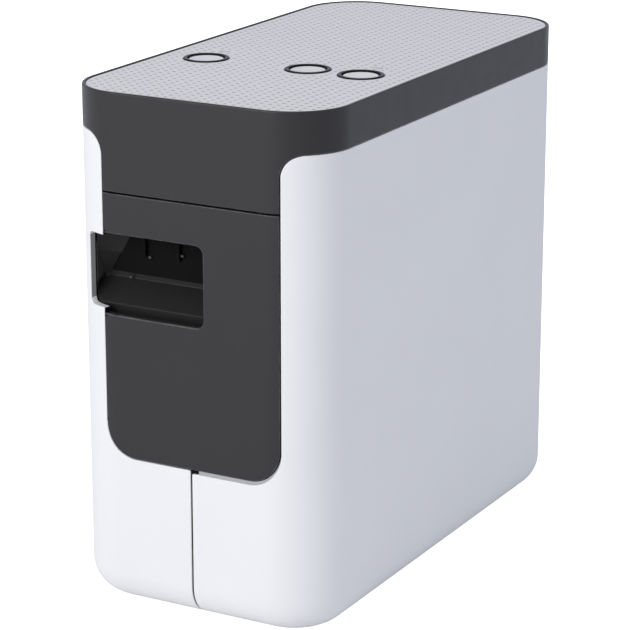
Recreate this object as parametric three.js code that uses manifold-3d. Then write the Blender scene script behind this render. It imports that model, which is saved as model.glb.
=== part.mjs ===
// A desktop label maker: a tall white case with a dark band round its top, a dark front panel with
// the label exit in it, and a grey top plate with three push buttons. The left half of the case is a
// door over the tape bay, and a battery door closes the underside.
// Millimetres. +X is the machine's right seen from the front, -Y the front, +Z up; the feet are on Z = 0.
import * as THREE from "three";
import { mergeVertices } from "three/addons/utils/BufferGeometryUtils.js";
import Module from "manifold-3d";

const wasm = await Module();
wasm.setup();

// ---- Case ----
const WIDTH = 78;
const DEPTH = 152;
const HEIGHT = 143;
const CORNER = 16.5; // radius of the four upright edges
const UNDER_EDGE = 9.5; // radius of the edge round the underside
const WALL = 2;
const FOOT = 0.4; // the case's underside stands this far above the table
const GAP = 0.3; // parting gap between mouldings
const BAND_LOW = 131.8; // lower edge of the dark band
const APRON_LOW = 116.4; // lower edge of the band's apron down the front
const PANEL_LOW = 43.2; // lower edge of the dark front panel
const PANEL_LEFT = -26;
const PANEL_RIGHT = 27;
const PANEL_CORNER = 9.3;
const APRON_CORNER = 6.2; // where the apron's sides sweep into the band
const SEAM = 0.3; // the case's two halves part here on the front
const LEDGE = 0.9; // the right half's rebate shows this far below the panel
const UNDER_HOLE = 9.7; // inset of the opening that the base closes

// ---- Label exit ----
const EXIT_LOW = 83;
const EXIT_HIGH = 105;
const EXIT_RIGHT = 4.6;
const EXIT_CORNER = 2.2;
const NOTCH_LEFT = -32; // the exit runs on into the door's corner as far as this
const NOTCH_LOW = 84.4;
const NOTCH_HIGH = 104.3;
const CHUTE_FRONT = -71.6;
const CHUTE_BACK = -64.4;
const CHUTE_SLANT = { depth: 1.458, height: 0.561 }; // how fast the pocket's left wall leans inwards
const TAPE_Z = 94.25; // height of the tape's path

// ---- Door ----
const HINGE = [-36.5, 57]; // x and y of the door's upright axis
const BARREL = 2.5;
const BARREL_LOW = 14;
const BARREL_HIGH = 131.5;
const PIN = 1;
const RUNNING = 0.1; // clearance round pins and shafts

// ---- Buttons ----
const BUTTON_RADIUS = 4.95;
const BEZEL_IN = 5.25;
const BEZEL_OUT = 6.3;
const BUTTON_Y = -24.1;
const BUTTONS = { power: -24.9, feed: 7.05, mode: 23.2 };
const LIGHT_Y = -13;
const LIGHTS = { power: -25.5, mode: 22.3 };
const BOARD_POSTS = [
  [-8, -14],
  [-8, -32],
  [30, -33],
];
const PLATE_TOP = 142.7;
const PLATE_LOW = 141.25;
const ROOF_LOW = 139.4;

// ---- Print unit, all on axes along X ----
const MODULE = 0.8;
const IDLER = [-32, 87.7]; // y and z of each axis
const PLATEN = [-48, 99.7];
const SPINDLE = [-12, 82];
const MOTOR = [-24, 72.93];
const HOLDER_PIVOT = [-36.6, 114.9]; // square to the line from the idler to the platen
const TEETH = { idler: 32, platen: 18, spindle: 20, motor: 10 };
const BAY_WALL = [-4, -2.4]; // x of the wall behind the tape cassette
const GEARS_X = [-0.7, 3.3];
const MOTOR_X = 8.7; // the drive motor's front face
const BRACKET_X = [5.8, 6.8]; // x of the sheet-metal plate that carries the motor
const BRACKET_POSTS = [
  [-50, 64],
  [-3, 64],
  [-8, 106],
]; // y and z of the pillars behind that plate

// ---- Cutter, all on axes along Y ----
const CUT_MODULE = 0.6;
const CUT_TEETH = { wheel: 30, pinion: 12, motor: 8 };
const CUT_WHEEL = [9.8, 104]; // x and z
const CUT_MOTOR = [19.3, 97.7];
const CUT_MOTOR_Y = -55.4; // its front face
const FLANGE_Y = [-57.2, -56.4];
const SHEAR_Y = [-61.4, -60.8]; // the moving blade

// ---- Sockets and screws ----
const USB = { x: [9, 21], z: [19, 30] };
const POWER = { at: [15, 42], radius: 4.6 }; // x and z of its axis
const SOCKET_BOARD_Y = [62, 63.6];
const SCREWS = [
  [-25.6, -45],
  [25.6, -45],
  [-25.6, 45],
  [25.6, 45],
];

const FEET = {
  foot_front_left: [-21, -59],
  foot_front_right: [21, -59],
  foot_rear_left: [-21, 59],
  foot_rear_right: [21, 59],
};

// ---- Power ----
const CELL_RADIUS = 7.25;
const CELL_LENGTH = 50.5;
const CELL_Z = 11;
const BAY_HALF = [23.2, 52.7]; // half the battery compartment's width and depth

const ARC = 6; // segments to a quarter of a large round
const ROUND = 16; // segments to a small cylinder

const paint = (color, roughness, metalness = 0) =>
  new THREE.MeshStandardMaterial({ color, roughness, metalness });
const WHITE = paint(0xeeeef0, 0.45);
const CHARCOAL = paint(0x3c3b3f, 0.5);
const GREY = paint(0xc6c5ca, 0.6);
const BLACK = paint(0x19181a, 0.6);
const GLOSS_BLACK = paint(0x121214, 0.2);
const STEEL = paint(0xb8bbc0, 0.35, 1);
const RUBBER = paint(0x2b2b2d, 0.9);
const GEAR_WHITE = paint(0xe6e2d6, 0.5);
const BOARD_GREEN = paint(0x1f6b45, 0.5);
const LENS = paint(0xdfe6e2, 0.25);
const CELL = paint(0x2a5d8f, 0.35);
const TAPE_WHITE = paint(0xf6f6f2, 0.4);

// ---------- Shape tools ----------

const X = new THREE.Vector3(1, 0, 0);
const Y = new THREE.Vector3(0, 1, 0);
const Z = new THREE.Vector3(0, 0, 1);
// A shape is drawn flat and pushed along its own Z; these turn it so that it runs along a part axis.
const RUNS = {
  x: new THREE.Matrix4().makeBasis(Y, Z, X), // drawn in Y and Z
  y: new THREE.Matrix4().makeBasis(Z, X, Y), // drawn in Z and X
  z: new THREE.Matrix4(), // drawn in X and Y
  front: new THREE.Matrix4().makeBasis(X, Z, Y.clone().negate()), // drawn in X and Z, pushed forwards
};

function solid(geometry) {
  const bare = geometry.clone();
  bare.deleteAttribute("normal");
  bare.deleteAttribute("uv");
  const merged = mergeVertices(bare, 1e-4);
  return new wasm.Manifold(
    new wasm.Mesh({
      numProp: 3,
      vertProperties: merged.attributes.position.array,
      triVerts: new Uint32Array(merged.index.array),
    }),
  );
}

function geometryOf(body) {
  const mesh = body.getMesh();
  const geometry = new THREE.BufferGeometry();
  geometry.setAttribute("position", new THREE.BufferAttribute(mesh.vertProperties, 3));
  geometry.setIndex(new THREE.BufferAttribute(mesh.triVerts, 1));
  geometry.computeVertexNormals();
  return geometry;
}

const join = (...bodies) => bodies.reduce((a, b) => a.add(b));
const cut = (body, ...tools) => tools.reduce((a, b) => a.subtract(b), body);

function block([x0, x1], [y0, y1], [z0, z1]) {
  const geometry = new THREE.BoxGeometry(x1 - x0, y1 - y0, z1 - z0);
  return solid(geometry.translate((x0 + x1) / 2, (y0 + y1) / 2, (z0 + z1) / 2));
}

function prism(axis, shape, from, to, curveSegments = ARC) {
  const geometry = new THREE.ExtrudeGeometry(shape, {
    depth: to - from,
    bevelEnabled: false,
    curveSegments,
  });
  return solid(geometry.translate(0, 0, from).applyMatrix4(RUNS[axis]));
}

// A shape drawn in X and Z, filling the depth from y0 back to y1.
const frontPrism = (shape, y0, y1) => prism("front", shape, -y1, -y0);

function rod(axis, radius, from, to, [u, v] = [0, 0], segments = ROUND) {
  const disc = new THREE.Shape().absarc(u, v, radius, 0, 2 * Math.PI);
  return prism(axis, disc, from, to, segments / 2);
}

function tube(axis, outer, inner, from, to, centre, segments = ROUND) {
  return cut(
    rod(axis, outer, from, to, centre, segments),
    rod(axis, inner, from - 1, to + 1, centre, segments),
  );
}

function outline(points) {
  return new THREE.Shape(points.map(([u, v]) => new THREE.Vector2(u, v)));
}

function roundedRect(u0, u1, v0, v1, radius) {
  const quarter = Math.PI / 2;
  return new THREE.Shape()
    .absarc(u1 - radius, v0 + radius, radius, -quarter, 0)
    .absarc(u1 - radius, v1 - radius, radius, 0, quarter)
    .absarc(u0 + radius, v1 - radius, radius, quarter, 2 * quarter)
    .absarc(u0 + radius, v0 + radius, radius, 2 * quarter, 3 * quarter);
}

const plan = (inset) =>
  roundedRect(
    inset - WIDTH / 2,
    WIDTH / 2 - inset,
    inset - DEPTH / 2,
    DEPTH / 2 - inset,
    CORNER - inset,
  );

// The whole case as a filled block, shrunk by inset, with its rounded lower edge, up to top.
function caseBlock(inset, top) {
  const edge = UNDER_EDGE - inset;
  const geometry = new THREE.ExtrudeGeometry(plan(inset), {
    depth: HEIGHT,
    curveSegments: ARC,
    bevelThickness: edge,
    bevelSize: edge,
    bevelOffset: -edge,
    bevelSegments: 4,
  });
  return cut(
    solid(geometry.translate(0, 0, FOOT + inset + edge)),
    block([-WIDTH, WIDTH], [-DEPTH, DEPTH], [top, 3 * HEIGHT]),
  );
}

// ---------- Gears ----------

const involute = (angle) => Math.tan(angle) - angle;
const PRESSURE = (20 * Math.PI) / 180;

// A spur gear's outline with one tooth centred at phase, thinned a little for backlash.
function gearShape(teeth, module, phase, backlash = 0.22) {
  const pitch = (teeth * module) / 2;
  const base = pitch * Math.cos(PRESSURE);
  const levels = [pitch - 1.15 * module, pitch, pitch + 0.85 * module];
  const half = (radius) => {
    const roll = Math.acos(Math.min(1, base / radius));
    const thickness = (Math.PI * module) / 2 - backlash;
    return thickness / 2 / pitch + involute(PRESSURE) - involute(roll);
  };
  const points = [];
  for (let i = 0; i < teeth; i++) {
    const centre = phase + (i * 2 * Math.PI) / teeth;
    const flank = levels.map((r) => [r, half(Math.max(r, base))]);
    const rising = flank.map(([r, a]) => [r, centre - a]);
    const falling = flank.map(([r, a]) => [r, centre + a]).reverse();
    for (const [r, a] of [...rising, ...falling]) {
      points.push([r * Math.cos(a), r * Math.sin(a)]);
    }
  }
  return outline(points);
}

// The phase that puts a second gear in mesh with a first one whose own phase is given.
function meshPhase(from, to, teeth, otherTeeth, phase) {
  const towards = Math.atan2(to[1] - from[1], to[0] - from[0]);
  const share = (teeth * (towards - phase)) / (2 * Math.PI);
  return towards + Math.PI - ((2 * Math.PI) / otherTeeth) * (0.5 - share);
}

// A gear about its own axis at the origin, pushed along the axis from one end to the other.
function gear(axis, teeth, module, phase, bore, from, to) {
  const body = prism(axis, gearShape(teeth, module, phase), from, to);
  return bore ? cut(body, rod(axis, bore, from - 1, to + 1)) : body;
}

// ---------- Case mouldings ----------

const everywhere = [-WIDTH, WIDTH];
const allDepth = [-DEPTH, DEPTH];
const caseWall = () => cut(caseBlock(0, HEIGHT), caseBlock(WALL, HEIGHT + 1));
const underHole = () => prism("z", plan(UNDER_HOLE), 0, FOOT + WALL + 1);

// The outline of the band and its apron seen from the front, grown by extra on every open side.
function darkFront(extra) {
  const low = BAND_LOW - extra;
  const left = PANEL_LEFT - extra;
  const right = PANEL_RIGHT + extra;
  const round = APRON_CORNER - extra;
  const apron = APRON_LOW - extra;
  return new THREE.Shape()
    .moveTo(-WIDTH, 2 * HEIGHT)
    .lineTo(-WIDTH, low)
    .absarc(left - round, low - round, round, Math.PI / 2, 0, true)
    .lineTo(left, apron)
    .lineTo(right, apron)
    .absarc(right + round, low - round, round, Math.PI, Math.PI / 2, true)
    .lineTo(WIDTH, low)
    .lineTo(WIDTH, 2 * HEIGHT);
}

// Everything that belongs to the band: all the wall above it, and the apron on the front.
const bandRegion = (extra) =>
  join(
    block(everywhere, allDepth, [BAND_LOW - extra, 2 * HEIGHT]),
    frontPrism(darkFront(extra), -DEPTH, -DEPTH / 2 + CORNER),
  );

// The front panel's outline, grown by side, and by below along the lower edge.
function panelOutline(side, below) {
  const round = PANEL_CORNER + side;
  const left = PANEL_LEFT - side;
  const right = PANEL_RIGHT + side;
  const low = PANEL_LOW - below;
  return new THREE.Shape()
    .moveTo(left, APRON_LOW - GAP + side)
    .lineTo(left, low + round)
    .absarc(left + round, low + round, round, Math.PI, 1.5 * Math.PI)
    .absarc(right - round, low + round, round, 1.5 * Math.PI, 2 * Math.PI)
    .lineTo(right, APRON_LOW - GAP + side);
}

const panelRegion = (side, below) =>
  frontPrism(panelOutline(side, below), -DEPTH, -DEPTH / 2 + CORNER);

// The space that the door takes: everything left of the seam, as far back as the hinge.
const doorRegion = (seam, back, z) => block([-WIDTH, seam], [-DEPTH, back], z);

function mainShell() {
  const clearOfBarrel = HINGE[1] + BARREL + 0.4;
  const recessWall = block([6.6, 31.5], [-71.6, -70.4], [38, BAND_LOW - 1.4]);
  const recessSill = block([SEAM, 31.5], [-75, -70.4], [38, 40]).intersect(caseBlock(1, 60));
  const knuckle = join(
    rod("z", BARREL, 10.5, BARREL_LOW - GAP, HINGE),
    block([-37.4, -34.4], [HINGE[1], clearOfBarrel + 1.5], [10.5, BARREL_LOW - GAP]),
  );
  const outside = cut(
    caseWall(),
    bandRegion(GAP / 2),
    doorRegion(SEAM, HINGE[1] + 0.4, [0, BAND_LOW + 1]),
    doorRegion(HINGE[0] + BARREL, clearOfBarrel, [0, BAND_LOW + 1]),
    panelRegion(GAP, LEDGE),
    underHole(),
  );
  // Short bosses hold the main board off the side wall and the socket board off the rear wall.
  const bosses = join(
    rod("x", 2, 35.9, WIDTH / 2 - 1, [-50, 104], 12),
    rod("x", 2, 35.9, WIDTH / 2 - 1, [54, 30], 12),
    rod("y", 2, SOCKET_BOARD_Y[1] + GAP, DEPTH / 2 - 1, [49, 6], 12),
    rod("y", 2, SOCKET_BOARD_Y[1] + GAP, DEPTH / 2 - 1, [17, 6], 12),
  );
  const body = join(outside, recessWall, recessSill, knuckle, bosses);
  return cut(
    body,
    rod("z", PIN + RUNNING, 11.5, BARREL_LOW, HINGE),
    block([USB.x[0] - GAP, USB.x[1] + GAP], [70, 80], [USB.z[0] - GAP, USB.z[1] + GAP]),
    rod("y", POWER.radius + GAP, 70, 80, [POWER.at[1], POWER.at[0]]),
  );
}

function topCap() {
  const ring = cut(
    caseBlock(0, HEIGHT),
    caseBlock(WALL, ROOF_LOW),
    prism("z", plan(0.9), PLATE_LOW - 0.05, HEIGHT + 1),
  );
  const boss = rod("z", BARREL, BAND_LOW, ROOF_LOW + 1, HINGE);
  const boardPosts = BOARD_POSTS.map((at) => rod("z", 1.8, 130.3, ROOF_LOW + 1, at, 12));
  let body = join(ring.intersect(bandRegion(0)), boss, ...boardPosts);
  for (const x of Object.values(BUTTONS)) {
    body = cut(body, rod("z", BEZEL_OUT + 0.1, 130, HEIGHT + 1, [x, BUTTON_Y], 24));
  }
  for (const x of Object.values(LIGHTS)) body = cut(body, lightSlot(x, 0.2, 130, HEIGHT));
  return cut(body, rod("z", PIN + RUNNING, BAND_LOW - 1, ROOF_LOW - 1, HINGE));
}

const lightSlot = (x, extra, from, to) =>
  prism(
    "z",
    roundedRect(x - 1.5 - extra, x + 1.5 + extra, LIGHT_Y - 0.55 - extra, LIGHT_Y + 0.55 + extra, 0.5),
    from,
    to,
    3,
  );

function topPlate() {
  let body = prism("z", plan(0.95), PLATE_LOW, PLATE_TOP);
  for (const x of Object.values(BUTTONS)) {
    body = cut(body, rod("z", BEZEL_OUT + 0.1, 130, HEIGHT + 1, [x, BUTTON_Y], 24));
  }
  for (const x of Object.values(LIGHTS)) body = cut(body, lightSlot(x, 0.2, 130, HEIGHT));
  return body;
}

function baseTray() {
  const [halfX, halfY] = BAY_HALF;
  const floor = prism("z", plan(UNDER_HOLE + GAP), FOOT, FOOT + WALL);
  const box = block([-halfX - 1.6, halfX + 1.6], [-halfY - 1.6, halfY + 1.6], [FOOT + 0.5, 20.6]);
  const hollow = block([-halfX, halfX], [-halfY, halfY], [0, 19]);
  let body = cut(join(floor, box), hollow);
  for (const [x, y] of SCREWS) {
    body = cut(body, rod("z", 2.7, 0, FOOT + 1, [x, y], 12), rod("z", 1.3, 0, 6, [x, y], 8));
  }
  for (const at of Object.values(FEET)) body = cut(body, rod("z", 4.8, 0, FOOT + 1, at));
  return body;
}

function batteryCover() {
  const [halfX, halfY] = BAY_HALF;
  const lid = block([-halfX + GAP, halfX - GAP], [-halfY + GAP, halfY - GAP], [FOOT, FOOT + 1.6]);
  const pull = block([-7, 7], [-halfY + 3, -halfY + 5.5], [0, FOOT + 0.8]);
  return cut(lid, pull);
}

// A rubber puck that stands in a shallow recess of the base.
const foot = () => rod("z", 4.5, 0, FOOT + 0.7);

// A pan-head screw, head down, about its own axis.
function screw() {
  const head = rod("z", 2.3, FOOT + 0.15, FOOT + 0.8, [0, 0], 12);
  const shank = rod("z", 1, FOOT + 0.5, FOOT + 4.6, [0, 0], 8);
  return join(head, shank);
}

// ---------- Door ----------

function coverShell() {
  const top = BAND_LOW - GAP / 2;
  const outside = cut(
    caseWall().intersect(doorRegion(SEAM - GAP, HINGE[1], [0, top])),
    bandRegion(GAP / 2),
    panelRegion(0.1, 0.2),
    notch(),
    underHole(),
    rod("z", BARREL + 0.4, 10, BARREL_LOW, HINGE),
  );
  const barrel = rod("z", BARREL, BARREL_LOW, BARREL_HIGH, HINGE);
  return cut(
    join(outside, barrel),
    rod("z", PIN + RUNNING, BARREL_LOW - 1, BARREL_LOW + 9, HINGE),
    rod("z", PIN + RUNNING, BARREL_HIGH - 9, BARREL_HIGH + 1, HINGE),
  );
}

// The exit's left end, cut into the door's rounded corner.
const notch = () =>
  frontPrism(
    roundedRect(NOTCH_LEFT, PANEL_LEFT + 4, NOTCH_LOW, NOTCH_HIGH, 1.6),
    -DEPTH,
    -DEPTH / 2 + CORNER,
  );

const exitHole = () =>
  frontPrism(
    roundedRect(PANEL_LEFT - 8, EXIT_RIGHT, EXIT_LOW, EXIT_HIGH, EXIT_CORNER),
    -DEPTH,
    -DEPTH / 2 + CORNER,
  );

const coverPanel = () => cut(caseWall().intersect(panelRegion(0, 0)), exitHole());

function coverLiner() {
  const skin = cut(caseBlock(WALL + 0.2, 126), caseBlock(WALL + 1.6, 130));
  const low = 14;
  const back = 50;
  const frontLow = PANEL_LOW + 2.3;
  const body = cut(
    skin.intersect(doorRegion(PANEL_RIGHT - 3, back, [low, 126])),
    block([-1, WIDTH], [-DEPTH, 0], [0, frontLow]),
    block([PANEL_LEFT + 1, WIDTH], [-DEPTH, 0], [APRON_LOW - 2, HEIGHT]),
    block([-37, EXIT_RIGHT + 2], [-DEPTH, -64], [EXIT_LOW - 2.2, EXIT_HIGH + 2.9]),
  );
  // Two upright ribs on the inside press the cassette home.
  const ribs = [-30, 10].map((y) => block([-35.5, -34.3], [y, y + 1.4], [42, 98]));
  return join(body, ...ribs);
}

// ---------- Frame inside the case ----------

function innerFrame() {
  const [wall, back] = BAY_WALL;
  const deep = [-35, back];
  const front = -56;
  const rear = 54;
  const thick = 1.6;
  const body = join(
    block(BAY_WALL, [front, rear], [20.9, 127]),
    block(deep, [front, rear], [36.4, 38]),
    block(deep, [front, rear], [127 - thick, 127]),
    block(deep, [36.4, 38], [36.4, 127]),
    block(deep, [front, front + thick], [36.4, 83.4]),
    block(deep, [front, front + thick], [109, 127]),
    block([-35, -33.4], [36.4, rear], [36.4, 127]),
    rod("x", 1.5, wall, 5.4, IDLER),
    ...BRACKET_POSTS.map((at) => rod("x", 2, wall, BRACKET_X[0] - GAP, at, 12)),
    rod("x", 1.5, -34.4, wall + 0.1, HOLDER_PIVOT),
  );
  return cut(
    body,
    rod("x", 3.6 + RUNNING, wall - 1, back + 1, SPINDLE, 24),
    block([wall - 1, back + 1], [-52.3, -45.8], [97.6, 103.6]),
    block([wall - 1, back + 1], [-49.7, -45.7], [84.6, 94.1]),
  );
}

// Everything left of a plane through (x, y, z) that leans to the right towards the back and the top.
function leaningWall(x, y, z) {
  const lean = new THREE.Matrix4().makeShear(0, 0, CHUTE_SLANT.depth, 0, CHUTE_SLANT.height, 0);
  const geometry = new THREE.BoxGeometry(60, 40, 60).translate(-30, 0, 0);
  return solid(geometry.applyMatrix4(lean).translate(x, y, z));
}

// The dark pocket behind the label exit: a left wall that leans in towards the top and the back,
// a ramp up to the slot, and a back wall.
// A shelf behind it carries the fixed blade, and a rail on its back guides the blade carrier.
function exitChute() {
  const left = -32.6;
  const right = 6;
  const low = 81.4;
  const inner = CHUTE_BACK - 1.2;
  const shell = block([left, right], [CHUTE_FRONT, CHUTE_BACK], [low, 107.4]);
  const ramp = outline([
    [CHUTE_FRONT - 2, low + 1.4],
    [inner + 1, 91.4],
    [inner + 1, low],
    [CHUTE_FRONT - 2, low],
  ]);
  const room = block([left + 1, right - 1], [-DEPTH, inner], [low + 1.2, 106]);
  const hollow = cut(room, leaningWall(-22.9, inner, 104), prism("x", ramp, left - 1, right + 1));
  const slot = block([-31, -3], [-DEPTH, CHUTE_BACK + 1], [TAPE_Z - 2.3, TAPE_Z + 2.4]);
  const ribs = [-19.6, -9].map((x) => block([x, x + 1], [inner - 1.2, inner + 0.2], [97.4, 106.2]));
  const shelf = block([-32, 4], [CHUTE_BACK - 0.5, -56.3], [low, low + 1.5]);
  const rail = block([-33.4, -32.3], [CHUTE_BACK - 0.5, -61.2], [92, 107.4]);
  const pocket = cut(shell.intersect(caseBlock(WALL + 0.4, HEIGHT)), hollow, slot);
  return join(pocket, shelf, rail, ...ribs);
}

// One folded steel plate: its broad side carries the drive motor, its flange the cutter's.
function driveBracket() {
  const side = block(BRACKET_X, [FLANGE_Y[1] - 0.5, 2], [58, 112]);
  const flange = block([BRACKET_X[0], 32], FLANGE_Y, [86, 116]);
  return cut(
    join(side, flange, rod("y", 1.2, -62.9, FLANGE_Y[1], [CUT_WHEEL[1], CUT_WHEEL[0]])),
    rod("x", 3.3, 0, 10, MOTOR),
    rod("y", 3.3, -60, -50, [CUT_MOTOR[1], CUT_MOTOR[0]]),
  );
}

// A can motor lying along an axis from its own origin, its nose bored for the pinion's shaft.
function canMotor(axis, radius, length) {
  const can = rod(axis, radius, 0, length, [0, 0], 24);
  const flat = 0.86 * radius;
  const sides =
    axis === "x"
      ? block([-1, length + 1], [-radius - 1, radius + 1], [-flat, flat])
      : block([-flat, flat], [-1, length + 1], [-radius - 1, radius + 1]);
  const nose = rod(axis, 3, -1.8, 0.5);
  const bearing = rod(axis, 2.6, length - 0.5, length + 1.4);
  return cut(join(can.intersect(sides), nose, bearing), rod(axis, 1 + RUNNING, -2, 4));
}

// ---------- Print unit ----------

function headBracket() {
  return join(
    block([-31, -1.2], [-49.2, -46.2], [85, 92.5]),
    block([-2.2, -1.2], [-55.4, -45.9], [74, 96]),
  );
}

function rollerHolder() {
  const [pivotY, pivotZ] = HOLDER_PIVOT;
  const [tipY, tipZ] = PLATEN;
  const length = Math.hypot(tipY - pivotY, tipZ - pivotZ);
  const lean = Math.atan2(tipZ - pivotZ, tipY - pivotY);
  const end = 3;
  const side = [-Math.sin(lean) * end, Math.cos(lean) * end];
  const bar = outline([
    [pivotY + side[0], pivotZ + side[1]],
    [tipY + side[0], tipZ + side[1]],
    [tipY - side[0], tipZ - side[1]],
    [pivotY - side[0], pivotZ - side[1]],
  ]);
  const arm = (from, to) =>
    cut(
      join(
        prism("x", bar, from, to),
        rod("x", end, from, to, HOLDER_PIVOT),
        rod("x", end, from, to, PLATEN),
      ),
      rod("x", 1.5 + RUNNING, from - 1, to + 1, HOLDER_PIVOT),
      rod("x", 1.5 + RUNNING, from - 1, to + 1, PLATEN),
    );
  const middle = [pivotY + (tipY - pivotY) * 0.45, pivotZ + (tipZ - pivotZ) * 0.45];
  const bridge = block(
    [-33, -5],
    [middle[0] - length * 0.18, middle[0] + length * 0.18],
    [middle[1] + 0.6, middle[1] + 2.4],
  );
  return join(arm(-33.6, -32), arm(-6.2, -4.6), bridge);
}

const IDLER_PHASE = 0;

// A driven gear's phase, set so that it meshes with the idler.
const drivenPhase = (at, teeth) => meshPhase(IDLER, at, TEETH.idler, teeth, IDLER_PHASE);

const idlerGear = () => gear("x", TEETH.idler, MODULE, IDLER_PHASE, 1.5 + RUNNING, ...GEARS_X);

const motorPinion = () =>
  join(
    gear("x", TEETH.motor, MODULE, drivenPhase(MOTOR, TEETH.motor), 0, ...GEARS_X),
    rod("x", 1, 3, MOTOR_X + 3.5, [0, 0], 12),
  );

const platenShaft = () =>
  join(
    rod("x", 1.5, -34, 3.9, [0, 0], 16),
    gear("x", TEETH.platen, MODULE, drivenPhase(PLATEN, TEETH.platen), 0, ...GEARS_X),
  );

const platenRoller = () => tube("x", 5, 1.7, -31.4, -6.8, [0, 0], 24);

// The ribbon take-up spindle: a six-splined shaft that stands in the cassette, with its gear.
function ribbonSpindle() {
  const splines = [];
  for (let i = 0; i < 6; i++) {
    for (const [radius, offset] of [
      [2.3, -0.35],
      [3, -0.2],
      [3, 0.2],
      [2.3, 0.35],
    ]) {
      const angle = (i * Math.PI) / 3 + offset;
      splines.push([radius * Math.cos(angle), radius * Math.sin(angle)]);
    }
  }
  return join(
    prism("x", outline(splines), -24, -1),
    rod("x", 3.6, -5, 3.9, [0, 0], 24),
    gear("x", TEETH.spindle, MODULE, drivenPhase(SPINDLE, TEETH.spindle), 0, ...GEARS_X),
  );
}

// ---------- Cutter ----------

const WHEEL_PHASE = 0;
const cutRadius = (teeth) => (teeth * CUT_MODULE) / 2;

// The large wheel and the small pinion that drives the rack turn together on one stub.
function cutterGear() {
  const rackSide = -Math.PI / 2; // the rack lies towards -X, a quarter turn below +Z
  const bore = 1.2 + RUNNING;
  return join(
    gear("y", CUT_TEETH.wheel, CUT_MODULE, WHEEL_PHASE, bore, -60.1, -58.3),
    gear("y", CUT_TEETH.pinion, CUT_MODULE, rackSide, bore, -62.8, -60),
  );
}

function cutterPinion() {
  const phase = meshPhase(
    [CUT_WHEEL[1], CUT_WHEEL[0]],
    [CUT_MOTOR[1], CUT_MOTOR[0]],
    CUT_TEETH.wheel,
    CUT_TEETH.motor,
    WHEEL_PHASE,
  );
  return join(
    gear("y", CUT_TEETH.motor, CUT_MODULE, phase, 0, -60.1, -58.4),
    rod("y", 1, -59, CUT_MOTOR_Y + 3.5, [0, 0], 12),
  );
}

// The sliding carrier that holds the blade, with a rack down its right edge.
function bladeCarrier() {
  const pitchLine = CUT_WHEEL[0] - cutRadius(CUT_TEETH.pinion);
  const spacing = Math.PI * CUT_MODULE;
  const slope = Math.tan(PRESSURE);
  const addendum = 0.85 * CUT_MODULE;
  const dedendum = 1.15 * CUT_MODULE;
  const thickness = spacing / 2 - 0.22;
  const root = pitchLine - dedendum;
  const low = 96;
  const high = 116;
  const points = [
    [root - 2, high],
    [root - 2, low],
    [root, low],
  ];
  // A gap between two teeth faces the pinion's tooth at the wheel's own height.
  for (let i = -4; i <= 5; i++) {
    const centre = CUT_WHEEL[1] + (i - 0.5) * spacing;
    const rootHalf = thickness / 2 + dedendum * slope;
    const tipHalf = thickness / 2 - addendum * slope;
    points.push([root, centre - rootHalf], [pitchLine + addendum, centre - tipHalf]);
    points.push([pitchLine + addendum, centre + tipHalf], [root, centre + rootHalf]);
  }
  points.push([root, high]);
  const rack = frontPrism(outline(points), -62.8, SHEAR_Y[0] - 0.1);
  const plate = block([-32, root - 1], [-63.6, SHEAR_Y[0] - 0.1], [99, 112]);
  return join(rack, plate);
}

const movingBlade = () =>
  frontPrism(
    outline([
      [-32, 95.6],
      [2.6, 97.6],
      [2.6, 109],
      [-32, 109],
    ]),
    ...SHEAR_Y,
  );

const fixedBlade = () =>
  join(
    block([-32, 1.5], [-60.4, -59.6], [83.2, 93.7]),
    block([-32, 1.5], [-60.4, -56.3], [83.2, 84]),
  );

// ---------- Cassette ----------

// Side view of the cassette: a box with a step at its top front for the roller and a slot for the head.
const CASSETTE = [
  [-52, 40],
  [34, 40],
  [34, 102],
  [-33, 102],
  [-36, 97],
  [-41, 97],
  [-43.6, 93.6],
  [-43.6, 84],
  [-50.6, 84],
  [-50.6, 93.6],
  [-52, 93.6],
];
const ROLL = [10, 64]; // y and z of the tape roll's axis
const ROLL_RADIUS = 21.5;
const ROLL_CORE = 9;

function cassetteCase() {
  const body = prism("x", outline(CASSETTE), -33.2, -5);
  const inside = join(
    block([-31.8, 0], [-50.6, 32.6], [41.4, 82.6]),
    block([-31.8, 0], [-31, 32.6], [41.4, 100.6]),
  );
  const window = roundedRect(ROLL[0] - 20, ROLL[0] + 20, ROLL[1] + 11, ROLL[1] + 19, 4);
  const hub = rod("x", ROLL_CORE - RUNNING, -32, -6.6, ROLL, 32);
  return join(cut(body, inside, prism("x", window, -40, -31)), hub);
}

const tapeRoll = () => tube("x", ROLL_RADIUS, ROLL_CORE, -30.4, -7, [0, 0], 32);

// ---------- Boards, sockets and power ----------

function usbSocket() {
  const [x0, x1] = USB.x;
  const [z0, z1] = USB.z;
  const shell = block(USB.x, [SOCKET_BOARD_Y[1] + 0.1, 75.4], USB.z);
  const mouth = block([x0 + 1.7, x1 - 1.7], [66.5, 76], [z0 + 1.5, z1 - 1.7]);
  const tongue = block([x0 + 3.1, x1 - 3.1], [65.5, 74.4], [z0 + 3.6, z1 - 4.2]);
  return join(cut(shell, mouth), tongue);
}

function powerSocket() {
  const centre = [POWER.at[1], POWER.at[0]];
  const barrel = rod("y", POWER.radius, 70, 75.4, centre);
  const housing = block(
    [POWER.at[0] - 5, POWER.at[0] + 5],
    [SOCKET_BOARD_Y[1] + 0.1, 71.5],
    [POWER.at[1] - 5.4, POWER.at[1] + 5.4],
  );
  return join(
    cut(join(barrel, housing), rod("y", 2.9, 66, 76, centre)),
    rod("y", 1, 65, 74.4, centre, 12),
  );
}

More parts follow.
